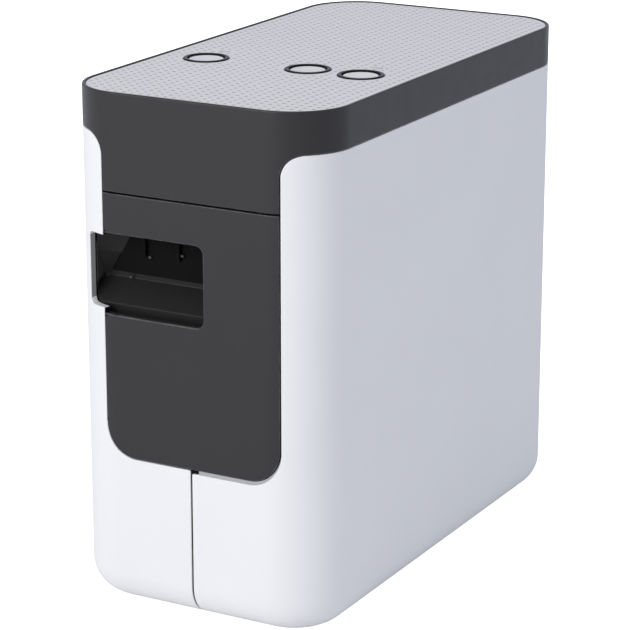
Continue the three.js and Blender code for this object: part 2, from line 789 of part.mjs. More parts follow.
// The main board stands against the right side; its largest parts stand off its inner face.
function mainBoard() {
  const face = 34;
  const board = block([face, 35.6], [-56, 60], [22, 112]);
  const chip = (y, z, wide, tall, thick) =>
    block([face - thick, face + 0.5], [y, y + wide], [z, z + tall]);
  const capacitor = (y, z) => rod("x", 4, face - 11, face + 0.5, [y, z], 16);
  return join(
    board,
    chip(-20, 40, 14, 14, 1.4),
    chip(8, 62, 9, 12, 1.2),
    chip(-44, 30, 22, 5, 4),
    chip(20, 92, 24, 5, 4),
    capacitor(24, 40),
    capacitor(36, 40),
    capacitor(30, 54),
  );
}

// A small upright board behind the rear wall that carries the two sockets.
const socketBoard = () => block([3, 25], SOCKET_BOARD_Y, [14, 53]);

function buttonBoard() {
  const board = block([-33, 33], [-36, -10], [128.6, 130]);
  const parts = [];
  for (const x of Object.values(BUTTONS)) {
    parts.push(block([x - 3, x + 3], [BUTTON_Y - 3, BUTTON_Y + 3], [129.5, 132.4]));
    parts.push(rod("z", 1.6, 132, 133, [x, BUTTON_Y], 12));
  }
  for (const x of Object.values(LIGHTS)) {
    parts.push(block([x - 1.2, x + 1.2], [LIGHT_Y - 0.6, LIGHT_Y + 0.6], [129.5, 131]));
  }
  return join(board, ...parts);
}

// A button about its own axis: a cap that fills the bezel and a stem that reaches the switch.
function button() {
  return join(
    rod("z", BUTTON_RADIUS, PLATE_TOP - 2.6, PLATE_TOP - 0.1, [0, 0], 24),
    rod("z", 2, 133.9, PLATE_TOP - 2, [0, 0], 12),
  );
}

const bezel = () =>
  tube("z", BEZEL_OUT, BEZEL_IN, ROOF_LOW + 0.1, HEIGHT, [0, 0], 24);

// An AA cell lying along Y with its contact nub towards +Y, at its own centre.
const cell = () =>
  join(
    rod("y", CELL_RADIUS, -CELL_LENGTH / 2, CELL_LENGTH / 2 - 1.1),
    rod("y", 2.6, 0, CELL_LENGTH / 2, [0, 0], 12),
  );

// A nickel strip at one end of the compartment that joins the cells' ends.
function contactStrip(y) {
  return block([-22, 22], [y - 0.2, y + 0.2], [6, 16]);
}

// ---------- Assembly ----------

function piece(name, body, material, at = [0, 0, 0]) {
  const mesh = new THREE.Mesh(geometryOf(body), material);
  mesh.name = name;
  mesh.position.set(...at);
  return mesh;
}

function group(...children) {
  const made = new THREE.Group();
  made.add(...children);
  return made;
}

// Places a piece made about an axis: the axis stands at the two given numbers.
const onX = ([y, z], x = 0) => [x, y, z];
const onY = ([x, z], y = 0) => [x, y, z];

const housing = group(
  piece("main_shell", mainShell(), WHITE),
  piece("top_cap", topCap(), CHARCOAL),
  piece("top_plate", topPlate(), GREY),
  piece("base_tray", baseTray(), BLACK),
  piece("battery_cover", batteryCover(), BLACK),
  piece("inner_frame", innerFrame(), BLACK),
  piece("exit_chute", exitChute(), BLACK),
);

for (const [name, at] of Object.entries(FEET)) housing.add(piece(name, foot(), RUBBER, [...at, 0]));
SCREWS.forEach((at, i) => housing.add(piece(`base_screw_${i + 1}`, screw(), STEEL, [...at, 0])));

const door = group(
  piece("cover_shell", coverShell(), WHITE),
  piece("cover_panel", coverPanel(), CHARCOAL),
  piece("cover_liner", coverLiner(), BLACK),
  piece("hinge_pin_upper", rod("z", PIN, 0, 13, [0, 0], 12), STEEL, [...HINGE, 124]),
  piece("hinge_pin_lower", rod("z", PIN, 0, 9, [0, 0], 12), STEEL, [...HINGE, 12]),
);

const controls = group(piece("button_board", buttonBoard(), BOARD_GREEN));
for (const [name, x] of Object.entries(BUTTONS)) {
  controls.add(piece(`${name}_button`, button(), GREY, [x, BUTTON_Y, 0]));
  controls.add(piece(`${name}_bezel`, bezel(), GLOSS_BLACK, [x, BUTTON_Y, 0]));
}
for (const [name, x] of Object.entries(LIGHTS)) {
  controls.add(piece(`${name}_light_pipe`, lightSlot(0, 0, 131.6, PLATE_TOP), LENS, [x, 0, 0]));
}

const printUnit = group(
  piece("drive_bracket", driveBracket(), STEEL),
  piece("drive_motor", canMotor("x", 12, 22), STEEL, onX(MOTOR, MOTOR_X)),
  piece("motor_pinion", motorPinion(), GEAR_WHITE, onX(MOTOR)),
  piece("idler_gear", idlerGear(), GEAR_WHITE, onX(IDLER)),
  piece("ribbon_spindle", ribbonSpindle(), GEAR_WHITE, onX(SPINDLE)),
  piece("roller_holder", rollerHolder(), BLACK),
  piece("platen_shaft", platenShaft(), STEEL, onX(PLATEN)),
  piece("platen_roller", platenRoller(), RUBBER, onX(PLATEN)),
  piece("head_bracket", headBracket(), STEEL),
  piece("print_head", block([-31, -7], [-49.6, -45.8], [92.6, 93.7]), GLOSS_BLACK),
);

const cutter = group(
  piece("cutter_motor", canMotor("y", 10, 24), STEEL, onY(CUT_MOTOR, CUT_MOTOR_Y)),
  piece("cutter_pinion", cutterPinion(), GEAR_WHITE, onY(CUT_MOTOR)),
  piece("cutter_gear", cutterGear(), GEAR_WHITE, onY(CUT_WHEEL)),
  piece("blade_carrier", bladeCarrier(), BLACK),
  piece("moving_blade", movingBlade(), STEEL),
  piece("fixed_blade", fixedBlade(), STEEL),
);

const cassette = group(
  piece("cassette_case", cassetteCase(), GREY),
  piece("tape_roll", tapeRoll(), TAPE_WHITE, onX(ROLL)),
  piece("label_tape", block([-31, -7], [-57.4, -43.4], [TAPE_Z - 0.1, TAPE_Z + 0.1]), TAPE_WHITE),
);

const power = group(
  piece("main_board", mainBoard(), BOARD_GREEN),
  piece("socket_board", socketBoard(), BOARD_GREEN),
  piece("usb_socket", usbSocket(), STEEL),
  piece("power_socket", powerSocket(), BLACK),
  piece("contact_strip_front", contactStrip(-BAY_HALF[1] + 0.7), STEEL),
  piece("contact_strip_rear", contactStrip(BAY_HALF[1] - 0.7), STEEL),
);
let cellNumber = 0;
for (const x of [-15, 0, 15]) {
  for (const y of [-1, 1]) {
    cellNumber += 1;
    const at = [x, y * (CELL_LENGTH / 2 + 0.2), CELL_Z];
    power.add(piece(`battery_${cellNumber}`, cell(), CELL, at));
  }
}

export default group(housing, door, controls, printUnit, cutter, cassette, power);
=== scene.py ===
# The looks of a desktop label maker: a white case with a dark band and apron, a dark front panel
# with the label exit, a dotted grey top plate with three ringed buttons, and what the tape door
# and the battery door uncover. Lengths are millimetres, apart from the stage's, which are metres.
import math

import bpy
import numpy as np
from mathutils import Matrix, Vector
from mathutils.geometry import delaunay_2d_cdt


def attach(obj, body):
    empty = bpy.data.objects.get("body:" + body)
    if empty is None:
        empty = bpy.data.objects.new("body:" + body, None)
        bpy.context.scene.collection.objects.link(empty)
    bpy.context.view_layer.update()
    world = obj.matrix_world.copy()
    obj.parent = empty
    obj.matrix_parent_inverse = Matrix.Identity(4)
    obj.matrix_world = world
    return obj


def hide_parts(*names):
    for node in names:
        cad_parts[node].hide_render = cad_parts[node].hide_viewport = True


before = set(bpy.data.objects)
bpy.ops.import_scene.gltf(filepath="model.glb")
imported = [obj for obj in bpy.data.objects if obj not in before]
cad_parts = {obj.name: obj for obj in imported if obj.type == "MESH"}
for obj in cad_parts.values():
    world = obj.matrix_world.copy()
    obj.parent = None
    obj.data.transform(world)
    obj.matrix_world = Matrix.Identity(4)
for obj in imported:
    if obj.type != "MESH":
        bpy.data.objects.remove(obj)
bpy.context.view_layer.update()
MM = 0.001

# ---- Case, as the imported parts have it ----
HALF_X = 39.0
HALF_Y = 76.0
CORNER = 16.5  # plan radius of the upright edges
UNDER_EDGE = 9.5  # radius round the underside
FOOT = 0.4  # height of the flat base above the table
WALL = 2.0
FLAT_X = HALF_X - CORNER
FLAT_Y = HALF_Y - CORNER
ARC = CORNER * math.pi / 2
AROUND = 4 * (FLAT_X + FLAT_Y + ARC)
TURN_Z = FOOT + UNDER_EDGE  # below this height the wall curves under
UNDER_LOW = TURN_Z - UNDER_EDGE * math.pi / 2 - 0.2  # profile length at the base opening
UNROLL = 36.0  # the front's corners are drawn as seen from the front out to this x

BAND_LOW = 131.8
APRON_LOW = 116.4
APRON_CORNER = 6.2
PANEL = (-26.0, 27.2, 43.4, 116.0)  # left, right, low, high
PANEL_CORNER = 9.3
SEAM = (0.12, 0.6)  # the edges of the door and of the right half, either side of the seam
SEAM_SHADE_DEPTH = 0.35
LEDGE = 1.05  # the right half's rebate shows this far below the panel
SILL_LEFT = 2.3
SILL_DEPTH = 0.75
SEAM_GAP = 0.25
DOOR_END_Y = 57.0
SHELL_END_Y = 59.9
UNDER_END_Y = 57.4
UNDER_END_TOP = -0.33  # below this profile height the fixed case runs nearer to the door's end
HINGE = (-36.5, 57.0)
BARREL = 2.5  # radius of the hinge's knuckles
BARREL_Z = (14.0, 131.5)
KNUCKLE_Z = (10.5, 13.7)
HINGE_WEB = ((-37.4, 57.0, 10.6), (-34.4, 61.2, 13.6))
SHELF = ((SEAM[1], -74.1, 38), (FLAT_X, -70.5, 40))  # inside the right half's front
FRONT_WALL = ((6.6, -71.6, 38), (31.5, -70.4, BAND_LOW - 1.4))  # behind the panel's right part

EXIT = (4.6, 83.0, 105.0)  # right, low, high
EXIT_CORNER = 2.2
NOTCH = (-32.0, 84.4, 104.3)  # left, low, high
NOTCH_CORNER = 1.6
FRONT_DEPTH = -60.0  # what lies before this y belongs to the front
FACING = 0.75  # a face looks to the right where its normal's x is larger than this
POCKET_BACK = -65.6
POCKET_LEAN = (1.458, 0.561)  # how fast the pocket's left wall leans in with depth and height
POCKET_LEFT = -31.6  # the pocket's left wall below the lean
POCKET_RIBS = (-19.6, -9.0)
POCKET_TOP = 105.9
RIB_LOW = 97.28
SHADE_SHEET_THICK = 0.13
CHEEK_FOOT = (-22.9, POCKET_BACK, 104.0)  # a place on the leaning wall
CHEEK_PROUD = 0.08
SIDE_PROUD = 0.06
CHEEK_THICK = 0.3
POCKET_PEGS = ((-17.2, -66.9, 97.2), (-7.1, -66.9, 98.9), (-23.3, -66.9, 91.0))
PEG = (0.45, 0.5, 0.35)  # half width, depth, half height

RIM_TOP = 143.0
RIM_START = 142.6
RIM_INSET = 0.9
PLATE_TOP = 142.7
PLATE_FLOOR = 141.2
PLATE_INSET = 0.95
ROOF_LOW = 139.4
BUTTON_Y = -24.1
BUTTONS = {"power": -24.9, "feed": 7.05, "mode": 23.2}
BUTTON_RADIUS = 4.95
BEZEL_IN = 5.25
BEZEL_OUT = 6.3
LIGHT_Y = -13.0
LIGHTS = (-25.5, 22.3)
LIGHT_HALF = (1.5, 0.55)
DOT_PITCH = (2.54, 2.6)
DOT_COUNT = (15, 30)  # columns and rows of dots to either side of the middle
DOT_RADIUS = 0.56
DOT_FLOOR = 0.62  # a dimple's floor as a share of its mouth
DOT_DEPTH = 0.14
DOT_SIDES = 10
BOARD_POSTS = ((-8, -14), (-8, -32), (30, -33))
BOARD_POST = (1.8, 130.3)  # radius, lower end

USB = (9.0, 21.0, 19.0, 30.0)  # x from and to, z from and to, in the rear wall
POWER = (15.0, 42.0, 4.6)  # x, z, radius
SOCKET_GAP = 0.3

STEP = 0.9  # spacing of points along an outline
CIRCLE_SIDES = 48
ARC_STEP = 1.3  # spacing round the case's corners
FLAT_STEP = 6.0  # spacing along its flat sides
GRID_CLEAR = 0.75  # inner points keep this far from an outline
EDGE = 0.32  # radius on the mouldings' edges
EXIT_EDGE = 0.55  # the softer edge round the label exit
PLATE_EDGE = 0.25
EDGE_STEPS = (0, 30, 60, 90)
SMOOTH_OUTLINE = 0.85  # neighbouring sides whose normals agree this well are shaded as one
SMOOTH_PROFILE = 0.75  # the same for a turned profile
CHUNK = 2000  # points looked at in one go

# ---- Stage ----
FLOOR_REACH = 6.0  # half the floor's width
WORLD_LIGHT = 0.64
WORLD_COLOUR = (0.958, 1.0, 1.123, 1)
BACKDROP_LIGHT = 1.05


# ---------- Materials ----------

CLOUD_SIZE = 38  # of the changes in colour
DUST_SIZE = 5  # of the changes in gloss
SCUFF_SIZE = 2.2
GLOSS_CHANGE = 0.06


def material(name, colour, rough, metal=0.0, grain=0.35, grain_size=0.35, grain_depth=0.02,
             blotch=0.03, wear=0.06, coat=0.0, sheen=0.0, stretch=(1, 1, 1), specular=0.5,
             transmission=0.0, subsurface=0.0, worn_share=None):
    """A plastic, rubber or metal with grain in its bump, cloudy colour and roughness, and lighter edges.

    grain_size and grain_depth are in millimetres, and stretch draws the grain out. The lighter edges are
    wear, and on the charcoal plastic also painted highlight; they follow the mesh's "edge" attribute, or
    cover worn_share of the surface where that is given."""
    made = bpy.data.materials.new(name)
    made.use_nodes = True
    tree = made.node_tree
    nodes, link = tree.nodes, tree.links.new
    shader = nodes["Principled BSDF"]
    shader.inputs["Metallic"].default_value = metal
    shader.inputs["Coat Weight"].default_value = coat
    shader.inputs["Coat Roughness"].default_value = 0.12
    shader.inputs["Sheen Weight"].default_value = sheen
    shader.inputs["Specular IOR Level"].default_value = specular
    shader.inputs["Transmission Weight"].default_value = transmission
    shader.inputs["Subsurface Weight"].default_value = subsurface
    shader.inputs["Subsurface Scale"].default_value = 2 * MM

    place = nodes.new("ShaderNodeTexCoord")
    turned = nodes.new("ShaderNodeMapping")
    turned.inputs["Scale"].default_value = stretch
    link(place.outputs["Object"], turned.inputs["Vector"])

    def noise(size, detail, vector):
        """Noise whose features are that many millimetres wide."""
        made_noise = nodes.new("ShaderNodeTexNoise")
        made_noise.inputs["Scale"].default_value = 1 / (size * MM)
        made_noise.inputs["Detail"].default_value = detail
        link(vector, made_noise.inputs["Vector"])
        return made_noise.outputs["Fac"]

    def span(value, low, high, out_low, out_high):
        """The value with its range low to high turned into another."""
        ranged = nodes.new("ShaderNodeMapRange")
        for key, number in zip(("From Min", "From Max", "To Min", "To Max"),
                               (low, high, out_low, out_high)):
            ranged.inputs[key].default_value = number
        link(value, ranged.inputs["Value"])
        return ranged.outputs["Result"]

    def mixed(share, first, second):
        """A blend of two colours, each a value or another node's output."""
        mix = nodes.new("ShaderNodeMix")
        mix.data_type = "RGBA"
        link(share, mix.inputs["Factor"])
        for socket, source in ((mix.inputs[6], first), (mix.inputs[7], second)):
            if isinstance(source, tuple):
                socket.default_value = source
            else:
                link(source, socket)
        return mix.outputs[2]

    grain_noise = noise(grain_size, 3, turned.outputs["Vector"])
    cloud = noise(CLOUD_SIZE, 2, place.outputs["Object"])
    dust = noise(DUST_SIZE, 4, place.outputs["Object"])
    light = tuple(min(1, c * (1 + blotch)) for c in colour) + (1,)
    dark = tuple(c * (1 - blotch) for c in colour) + (1,)
    worn_and_sheen = tuple(min(1, c + wear * (1.1 - c)) for c in colour) + (1,)
    body = mixed(span(cloud, 0.35, 0.65, 0, 1), dark, light)
    scuffs = noise(SCUFF_SIZE, 4, place.outputs["Object"])
    share = None
    if worn_share is None:
        edge = nodes.new("ShaderNodeAttribute")
        edge.attribute_name = "edge"
        both = nodes.new("ShaderNodeMath")
        both.operation = "MULTIPLY"
        link(edge.outputs["Fac"], both.inputs[0])
        link(span(scuffs, 0.4, 0.6, 0.25, 1), both.inputs[1])
        share = both.outputs["Value"]
    elif worn_share > 0:
        share = span(scuffs, 0.7 - 0.3 * worn_share, 0.8 - 0.3 * worn_share, 0, 1)
    link(mixed(share, body, worn_and_sheen) if share else body, shader.inputs["Base Color"])
    link(span(dust, 0.3, 0.7, rough - GLOSS_CHANGE / 2, rough + GLOSS_CHANGE / 2),
         shader.inputs["Roughness"])
    bump = nodes.new("ShaderNodeBump")
    bump.inputs["Strength"].default_value = grain
    bump.inputs["Distance"].default_value = grain_depth * MM
    link(grain_noise, bump.inputs["Height"])
    link(bump.outputs["Normal"], shader.inputs["Normal"])
    return made


def finish(name, *colour, **look):
    """A kept part's two materials: its clean faces, and its rounded edges with their scuffs."""
    return (material(name, *colour, **look, worn_share=0),
            material(name + "_edge", *colour, **look, worn_share=0.9))


WHITE = material("white_plastic", (0.800, 0.800, 0.800), 0.42, grain_size=0.4, blotch=0.008, wear=0.1)
# Its lighter worn edges also paint the light line along the label exit's edges: painted highlight.
DARK = material("charcoal_plastic", (0.0185, 0.0172, 0.0178), 0.36, grain_size=0.3, blotch=0.05,
                wear=0.05, specular=0.44)
PLATE = material("grey_plate", (0.705, 0.685, 0.680), 0.5, grain_size=0.3, blotch=0.01, wear=0.05)
DOT = material("grey_plate_dot", (0.42, 0.41, 0.41), 0.6, grain_size=0.2, blotch=0.02, wear=0.0)
KEY = material("grey_key", (0.745, 0.727, 0.722), 0.36, grain_size=0.3, blotch=0.01, wear=0.15)
GLOSS = material("ring_black", (0.008, 0.007, 0.008), 0.22, grain=0.1, wear=0.0, specular=0.08)
SHADE = material("shaded_white_plastic", (0.46, 0.46, 0.47), 0.45, grain_size=0.4, blotch=0.008, wear=0.1)
# Darker white for the notch's end wall: painted shade.
NOTCH_SHADE = material("notch_shaded_white_plastic", (0.23, 0.226, 0.222), 0.45, grain_size=0.4, blotch=0.01, wear=0.1)
# A lighter copy of the pocket's plastic for its upright left wall: painted light.
POCKET_LIT_SIDE = material("pocket_lit_side_plastic", (0.052, 0.05, 0.047), 0.5, grain_size=0.5, blotch=0.06,
                       wear=0.01, specular=0.26)
PEG_HIGHLIGHT = material("pocket_peg", (0.045, 0.044, 0.04), 0.35, grain_size=0.3, blotch=0.03, wear=0.1)
# Dull black for painted shade in the pocket, the seam and the gap along the panel.
SHADE_BLACK = material("painted_shade_black", (0.0035, 0.003, 0.0028), 0.7, grain_size=0.5, blotch=0.06,
                  wear=0.0, specular=0.1)
FLOOR = material("pale_floor", (0.90, 0.90, 0.91), 0.9, grain=0.05, blotch=0.003, wear=0.0)

BLACK = finish("black_plastic", (0.018, 0.017, 0.017), 0.5, grain_size=0.5, blotch=0.06, wear=0.04)
# Darker than the black plastic: painted shade for the chute and the parts deep in the pocket.
SHADED_POCKET = finish("pocket_shaded_plastic", (0.0105, 0.009, 0.0085), 0.5, grain_size=0.5, blotch=0.06,
                wear=0.01, specular=0.26)
STEEL = finish("steel", (0.55, 0.56, 0.58), 0.3, metal=1.0, grain_size=0.25, grain_depth=0.01,
               stretch=(0.08, 1, 1), wear=0.15)
# The blades are near black: painted shade inside the pocket.
SHADED_BLADE = finish("shaded_blade", (0.008, 0.008, 0.009), 0.5, grain_size=0.25, grain_depth=0.01,
               stretch=(0.08, 1, 1), wear=0.2, specular=0.2)
HEAD = finish("print_head", (0.012, 0.012, 0.013), 0.2, grain=0.1, wear=0.1)
RUBBER = finish("rubber", (0.022, 0.022, 0.024), 0.85, grain=0.6, grain_size=0.5, grain_depth=0.05,
                sheen=0.1)
GEAR = finish("gear_acetal", (0.76, 0.73, 0.66), 0.38, subsurface=0.1, wear=0.05)
BOARD = finish("circuit_board", (0.015, 0.12, 0.065), 0.35, blotch=0.12, grain_size=1.4,
               grain_depth=0.06, coat=0.4)
LENS = finish("light_pipe", (0.62, 0.66, 0.64), 0.2, transmission=0.35, coat=0.3)
TAPE = finish("label_tape", (0.86, 0.86, 0.83), 0.3, coat=0.4, blotch=0.01, stretch=(1, 0.1, 1))
CASSETTE = finish("cassette_plastic", (0.42, 0.42, 0.44), 0.45, blotch=0.02)
SLEEVE = finish("cell_sleeve", (0.03, 0.10, 0.26), 0.28, coat=0.5, blotch=0.04)


# ---------- Case surface ----------


def track(s):
    """Points round the case's plan at distance s from the middle of the front, with outward normals."""
    s = np.mod(s, AROUND)
    starts = np.cumsum([FLAT_X, ARC, 2 * FLAT_Y, ARC, 2 * FLAT_X, ARC, 2 * FLAT_Y, ARC])
    turn = sum(np.clip((s - starts[i]) / CORNER, 0, math.pi / 2) for i in (0, 2, 4, 6))
    normal = np.stack([np.sin(turn), -np.cos(turn)], axis=-1)
    x = (np.clip(s, 0, FLAT_X) - np.clip(s - starts[3], 0, 2 * FLAT_X)
         + np.clip(s - starts[7], 0, FLAT_X))
    y = (-FLAT_Y + np.clip(s - starts[1], 0, 2 * FLAT_Y)
         - np.clip(s - starts[5], 0, 2 * FLAT_Y))
    return np.stack([x, y], axis=-1) + CORNER * normal, normal


def case_surface(st):
    """The case's outside at (s, t): place, normal, and the directions of growing s and t."""
    s, t = st[:, 0], st[:, 1]
    plan, out = track(s)
    under = np.clip((TURN_Z - t) / UNDER_EDGE, 0, math.pi / 2)
    lean = -under
    inset = UNDER_EDGE * (1 - np.cos(under))
    z = np.where(t > TURN_Z, t, TURN_Z - UNDER_EDGE * np.sin(under))
    inset = inset + np.clip(TURN_Z - UNDER_EDGE * math.pi / 2 - t, 0, None)
    return frame_at(plan, out, inset, z, lean)


def at_depth(surface, st, depth):
    """What the surface gives at (s, t), moved inwards by a depth, or by one depth for each place."""
    place, normal, along, up = surface(st)
    return place - normal * np.reshape(depth, (-1, 1)), normal, along, up


def sunk(whole, depth):
    """A surface that much below another."""
    def surface(st):
        return at_depth(whole, st, depth)
    return surface


def plane(origin, normal, along):
    """A flat surface through a point, drawn on along one direction and square to it."""
    normal, along = (np.array(v, float) / np.linalg.norm(v) for v in (normal, along))
    up = np.cross(normal, along)

    def surface(uv):
        ones = np.ones((len(uv), 1))
        place = np.array(origin) + uv[:, :1] * along + uv[:, 1:] * up
        return place, ones * normal, ones * along, ones * up

    def flat(points):
        """Places near the plane as points on it."""
        away = np.array(points, float) - np.array(origin)
        return np.stack([away @ along, away @ up], axis=1)

    return surface, flat


def frame_at(plan, out, inset, z, lean):
    """Place, normal and directions inwards of the plan by inset, where the wall leans by an angle."""
    level, rise = np.cos(lean)[:, None], np.sin(lean)[:, None]
    place = np.concatenate([plan - out * inset[:, None], z[:, None]], axis=1)
    normal = np.concatenate([out * level, rise], axis=1)
    along = np.stack([-out[:, 1], out[:, 0], np.zeros(len(z))], axis=1)
    up = np.concatenate([-out * rise, level], axis=1)
    return place, normal, along, up


def lifted(points, z):
    """Points or directions in a plane, given the same third coordinate."""
    return np.concatenate([points, np.full((len(points), 1), float(z))], axis=1)


def flat_surface(height):
    """A level surface at that height, drawn on in x and y."""
    def surface(xy):
        ones = np.ones((len(xy), 1))
        return lifted(xy, height), ones * (0, 0, 1), ones * (1, 0, 0), ones * (0, 1, 0)
    return surface


def unroll(path):
    """A path drawn in x and height as seen from the front, as distances round the case and heights."""
    u = path[:, 0]
    bend = np.clip(np.abs(u) - FLAT_X, 0, UNROLL - FLAT_X)
    s = np.clip(np.abs(u), 0, FLAT_X) + CORNER * np.arcsin(bend / CORNER)
    s = np.sign(u) * (s + np.clip(np.abs(u) - UNROLL, 0, None))
    return np.stack([s, path[:, 1]], axis=1)


UNROLLED = FLAT_X + CORNER * math.asin((UNROLL - FLAT_X) / CORNER)


def beyond(s):
    """The x that unroll turns into distance s, for places past the front's corners."""
    return math.copysign(UNROLL + abs(s) - UNROLLED, s)


# ---------- Outlines ----------


def densify(points, closed=True):
    """Points no more than STEP apart along a path."""
    made = []
    count = len(points) if closed else len(points) - 1
    for i in range(count):
        a, b = np.array(points[i]), np.array(points[(i + 1) % len(points)])
        parts = max(1, math.ceil(np.linalg.norm(b - a) / STEP))
        made += [a + (b - a) * k / parts for k in range(parts)]
    if not closed:
        made.append(np.array(points[-1]))
    return np.array(made)


def rounded(corners, closed=True):
    """A path through corners (u, v, radius), each turned into an arc of that radius."""
    made = []
    last = len(corners) - 1
    for i, (u, v, radius) in enumerate(corners):
        here = np.array([u, v], float)
        if radius == 0 or (not closed and i in (0, last)):
            made.append(here)
            continue
        before = here - np.array(corners[i - 1][:2])
        after = np.array(corners[(i + 1) % len(corners)][:2]) - here
        before = before / np.linalg.norm(before)
        after = after / np.linalg.norm(after)
        turn = math.atan2(before[0] * after[1] - before[1] * after[0], before @ after)
        side = math.copysign(1, turn)
        start = here - before * radius * math.tan(abs(turn) / 2)
        left = np.array([-before[1], before[0]]) * side
        parts = max(4, math.ceil(radius * abs(turn) / 0.5))
        for k in range(parts + 1):
            angle = abs(turn) * k / parts
            made.append(start + before * radius * math.sin(angle)
                        + left * radius * (1 - math.cos(angle)))
    return densify(made, closed)


def unit_ring(count, way=1):
    """Points round a circle of radius 1, anticlockwise, or clockwise where way is -1."""
    angles = way * np.arange(count) * 2 * math.pi / count
    return np.stack([np.cos(angles), np.sin(angles)], axis=1)


def circle(x, y, radius):
    """A round hole's outline, clockwise so that the material is on its left."""
    return unit_ring(CIRCLE_SIDES, -1) * radius + (x, y)


def light_hole(x, extra):
    """The outline of a small light's hole, that much larger all round than the light."""
    a, b = LIGHT_HALF[0] + extra, LIGHT_HALF[1] + extra
    corners = [(x - a, LIGHT_Y - b, 0.5), (x - a, LIGHT_Y + b, 0.5),
               (x + a, LIGHT_Y + b, 0.5), (x + a, LIGHT_Y - b, 0.5)]
    return rounded(corners)


def plan_loop(inset):
    """The case's plan outline at that inset, anticlockwise."""
    plan, out = track(around())
    return plan - out * inset


def around():
    """Distances once round the case, close together on the corners."""
    stops = []
    at = -AROUND / 2
    lengths = [FLAT_X, ARC, 2 * FLAT_Y, ARC, FLAT_X, FLAT_X, ARC, 2 * FLAT_Y, ARC, FLAT_X]
    for length in lengths:
        parts = math.ceil(length / (ARC_STEP if length == ARC else FLAT_STEP))
        stops += [at + length * k / parts for k in range(parts)]
        at += length
    return np.array(stops)


def inside(points, loops):
    """Which points lie within the loops, counting a loop inside another as a hole."""
    odd = np.zeros(len(points), bool)
    for loop in loops:
        a, b = loop, np.roll(loop, -1, axis=0)
        for start in range(0, len(points), CHUNK):
            x, y = points[start:start + CHUNK, :1], points[start:start + CHUNK, 1:]
            spans = (a[:, 1] <= y) != (b[:, 1] <= y)
            rise = np.where(b[:, 1] == a[:, 1], 1, b[:, 1] - a[:, 1])
            cross = a[:, 0] + (y - a[:, 1]) * (b[:, 0] - a[:, 0]) / rise
            odd[start:start + CHUNK] ^= (spans & (x < cross)).sum(axis=1) % 2 == 1
    return odd


def clear_of(points, loops, distance):
    """Which points are at least that far from every point of the loops."""
    far = np.ones(len(points), bool)
    for loop in loops:
        for start in range(0, len(points), CHUNK):
            part = points[start:start + CHUNK]
            gaps = ((part[:, None, :] - loop[None, :, :]) ** 2).sum(axis=2).min(axis=1)
            far[start:start + CHUNK] &= gaps > distance * distance
    return far


def sides(loop, closed=True):
    """For each point: the mitre outwards; for each segment: its outward normal at start and end."""
    ahead = np.roll(loop, -1, axis=0) - loop
    if not closed:
        ahead[-1] = ahead[-2]
    ahead = ahead / np.linalg.norm(ahead, axis=1)[:, None]
    out = np.stack([ahead[:, 1], -ahead[:, 0]], axis=1)
    before = np.roll(out, 1, axis=0)
    if not closed:
        before[0] = out[0]
    turn = (out * before).sum(axis=1)
    mitre = (out + before) / (1 + turn)[:, None]
    smooth = mitre / np.linalg.norm(mitre, axis=1)[:, None]
    sharp = (turn < SMOOTH_OUTLINE)[:, None]
    at_start = np.where(sharp, out, smooth)
    at_end = np.where(np.roll(sharp, -1, axis=0), out, np.roll(smooth, -1, axis=0))
    return mitre, at_start, at_end


# ---------- Meshes ----------


class Skin:
    """Faces with a normal at every corner, welded into one mesh when it is finished."""

    def __init__(self):
        self.faces = []  # (corner places, corner normals, material slot, how much of the lighter edge colour each corner takes)

    def add(self, places, normals, slot=0, worn_and_sheen=None):
        """places and normals are (faces, corners, 3); worn is one number for each corner."""
        self.faces.append((places, normals, slot, np.zeros(places.shape[1]) if worn_and_sheen is None else worn_and_sheen))

    def reslot(self, slot, where):
        """Moves the faces whose middle and normal pass where() to another material slot."""
        faces = []
        for places, normals, old_slot, worn_and_sheen in self.faces:
            chosen = where(places.mean(axis=1), normals.mean(axis=1))
            for part, number in ((~chosen, old_slot), (chosen, slot)):
                if part.any():
                    faces.append((places[part], normals[part], number, worn_and_sheen))
        self.faces = faces

    def build(self, name, body, materials, replaced=()):
        """Makes the piece, which rides on the body and stands in for the replaced nodes."""
        places = np.concatenate([face[0].reshape(-1, 3) for face in self.faces])
        _, first, index = np.unique(np.round(places, 4) + 0.0, axis=0, return_index=True,
                                    return_inverse=True)
        index = index.reshape(-1)
        vertices = places[first] * MM
        polygons, normals, slots, edges = [], [], [], []
        at = 0
        for corner_places, corner_normals, face_slot, worn_and_sheen in self.faces:
            count, size = corner_places.shape[:2]
            rows = index[at:at + count * size].reshape(count, size)
            at += count * size
            for row, row_normals in zip(rows.tolist(), corner_normals):
                keep = [k for k in range(size) if row[k] != row[k - 1]]
                if len(keep) > 2:
                    polygons.append([row[k] for k in keep])
                    normals.extend(row_normals[k] for k in keep)
                    edges.extend(worn_and_sheen[k] for k in keep)
                    slots.append(face_slot)
        mesh = bpy.data.meshes.new(name)
        mesh.from_pydata(vertices.tolist(), [], polygons)
        mesh.polygons.foreach_set("use_smooth", [True] * len(polygons))
        mesh.polygons.foreach_set("material_index", slots)
        for made in materials:
            mesh.materials.append(made)
        mesh.attributes.new("edge", "FLOAT", "CORNER").data.foreach_set("value", edges)
        mesh.normals_split_custom_set([Vector(n).normalized() for n in normals])
        mesh.update()
        piece = bpy.data.objects.new(name, mesh)
        bpy.context.scene.collection.objects.link(piece)
        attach(piece, body)
        if replaced:
            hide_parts(*replaced)


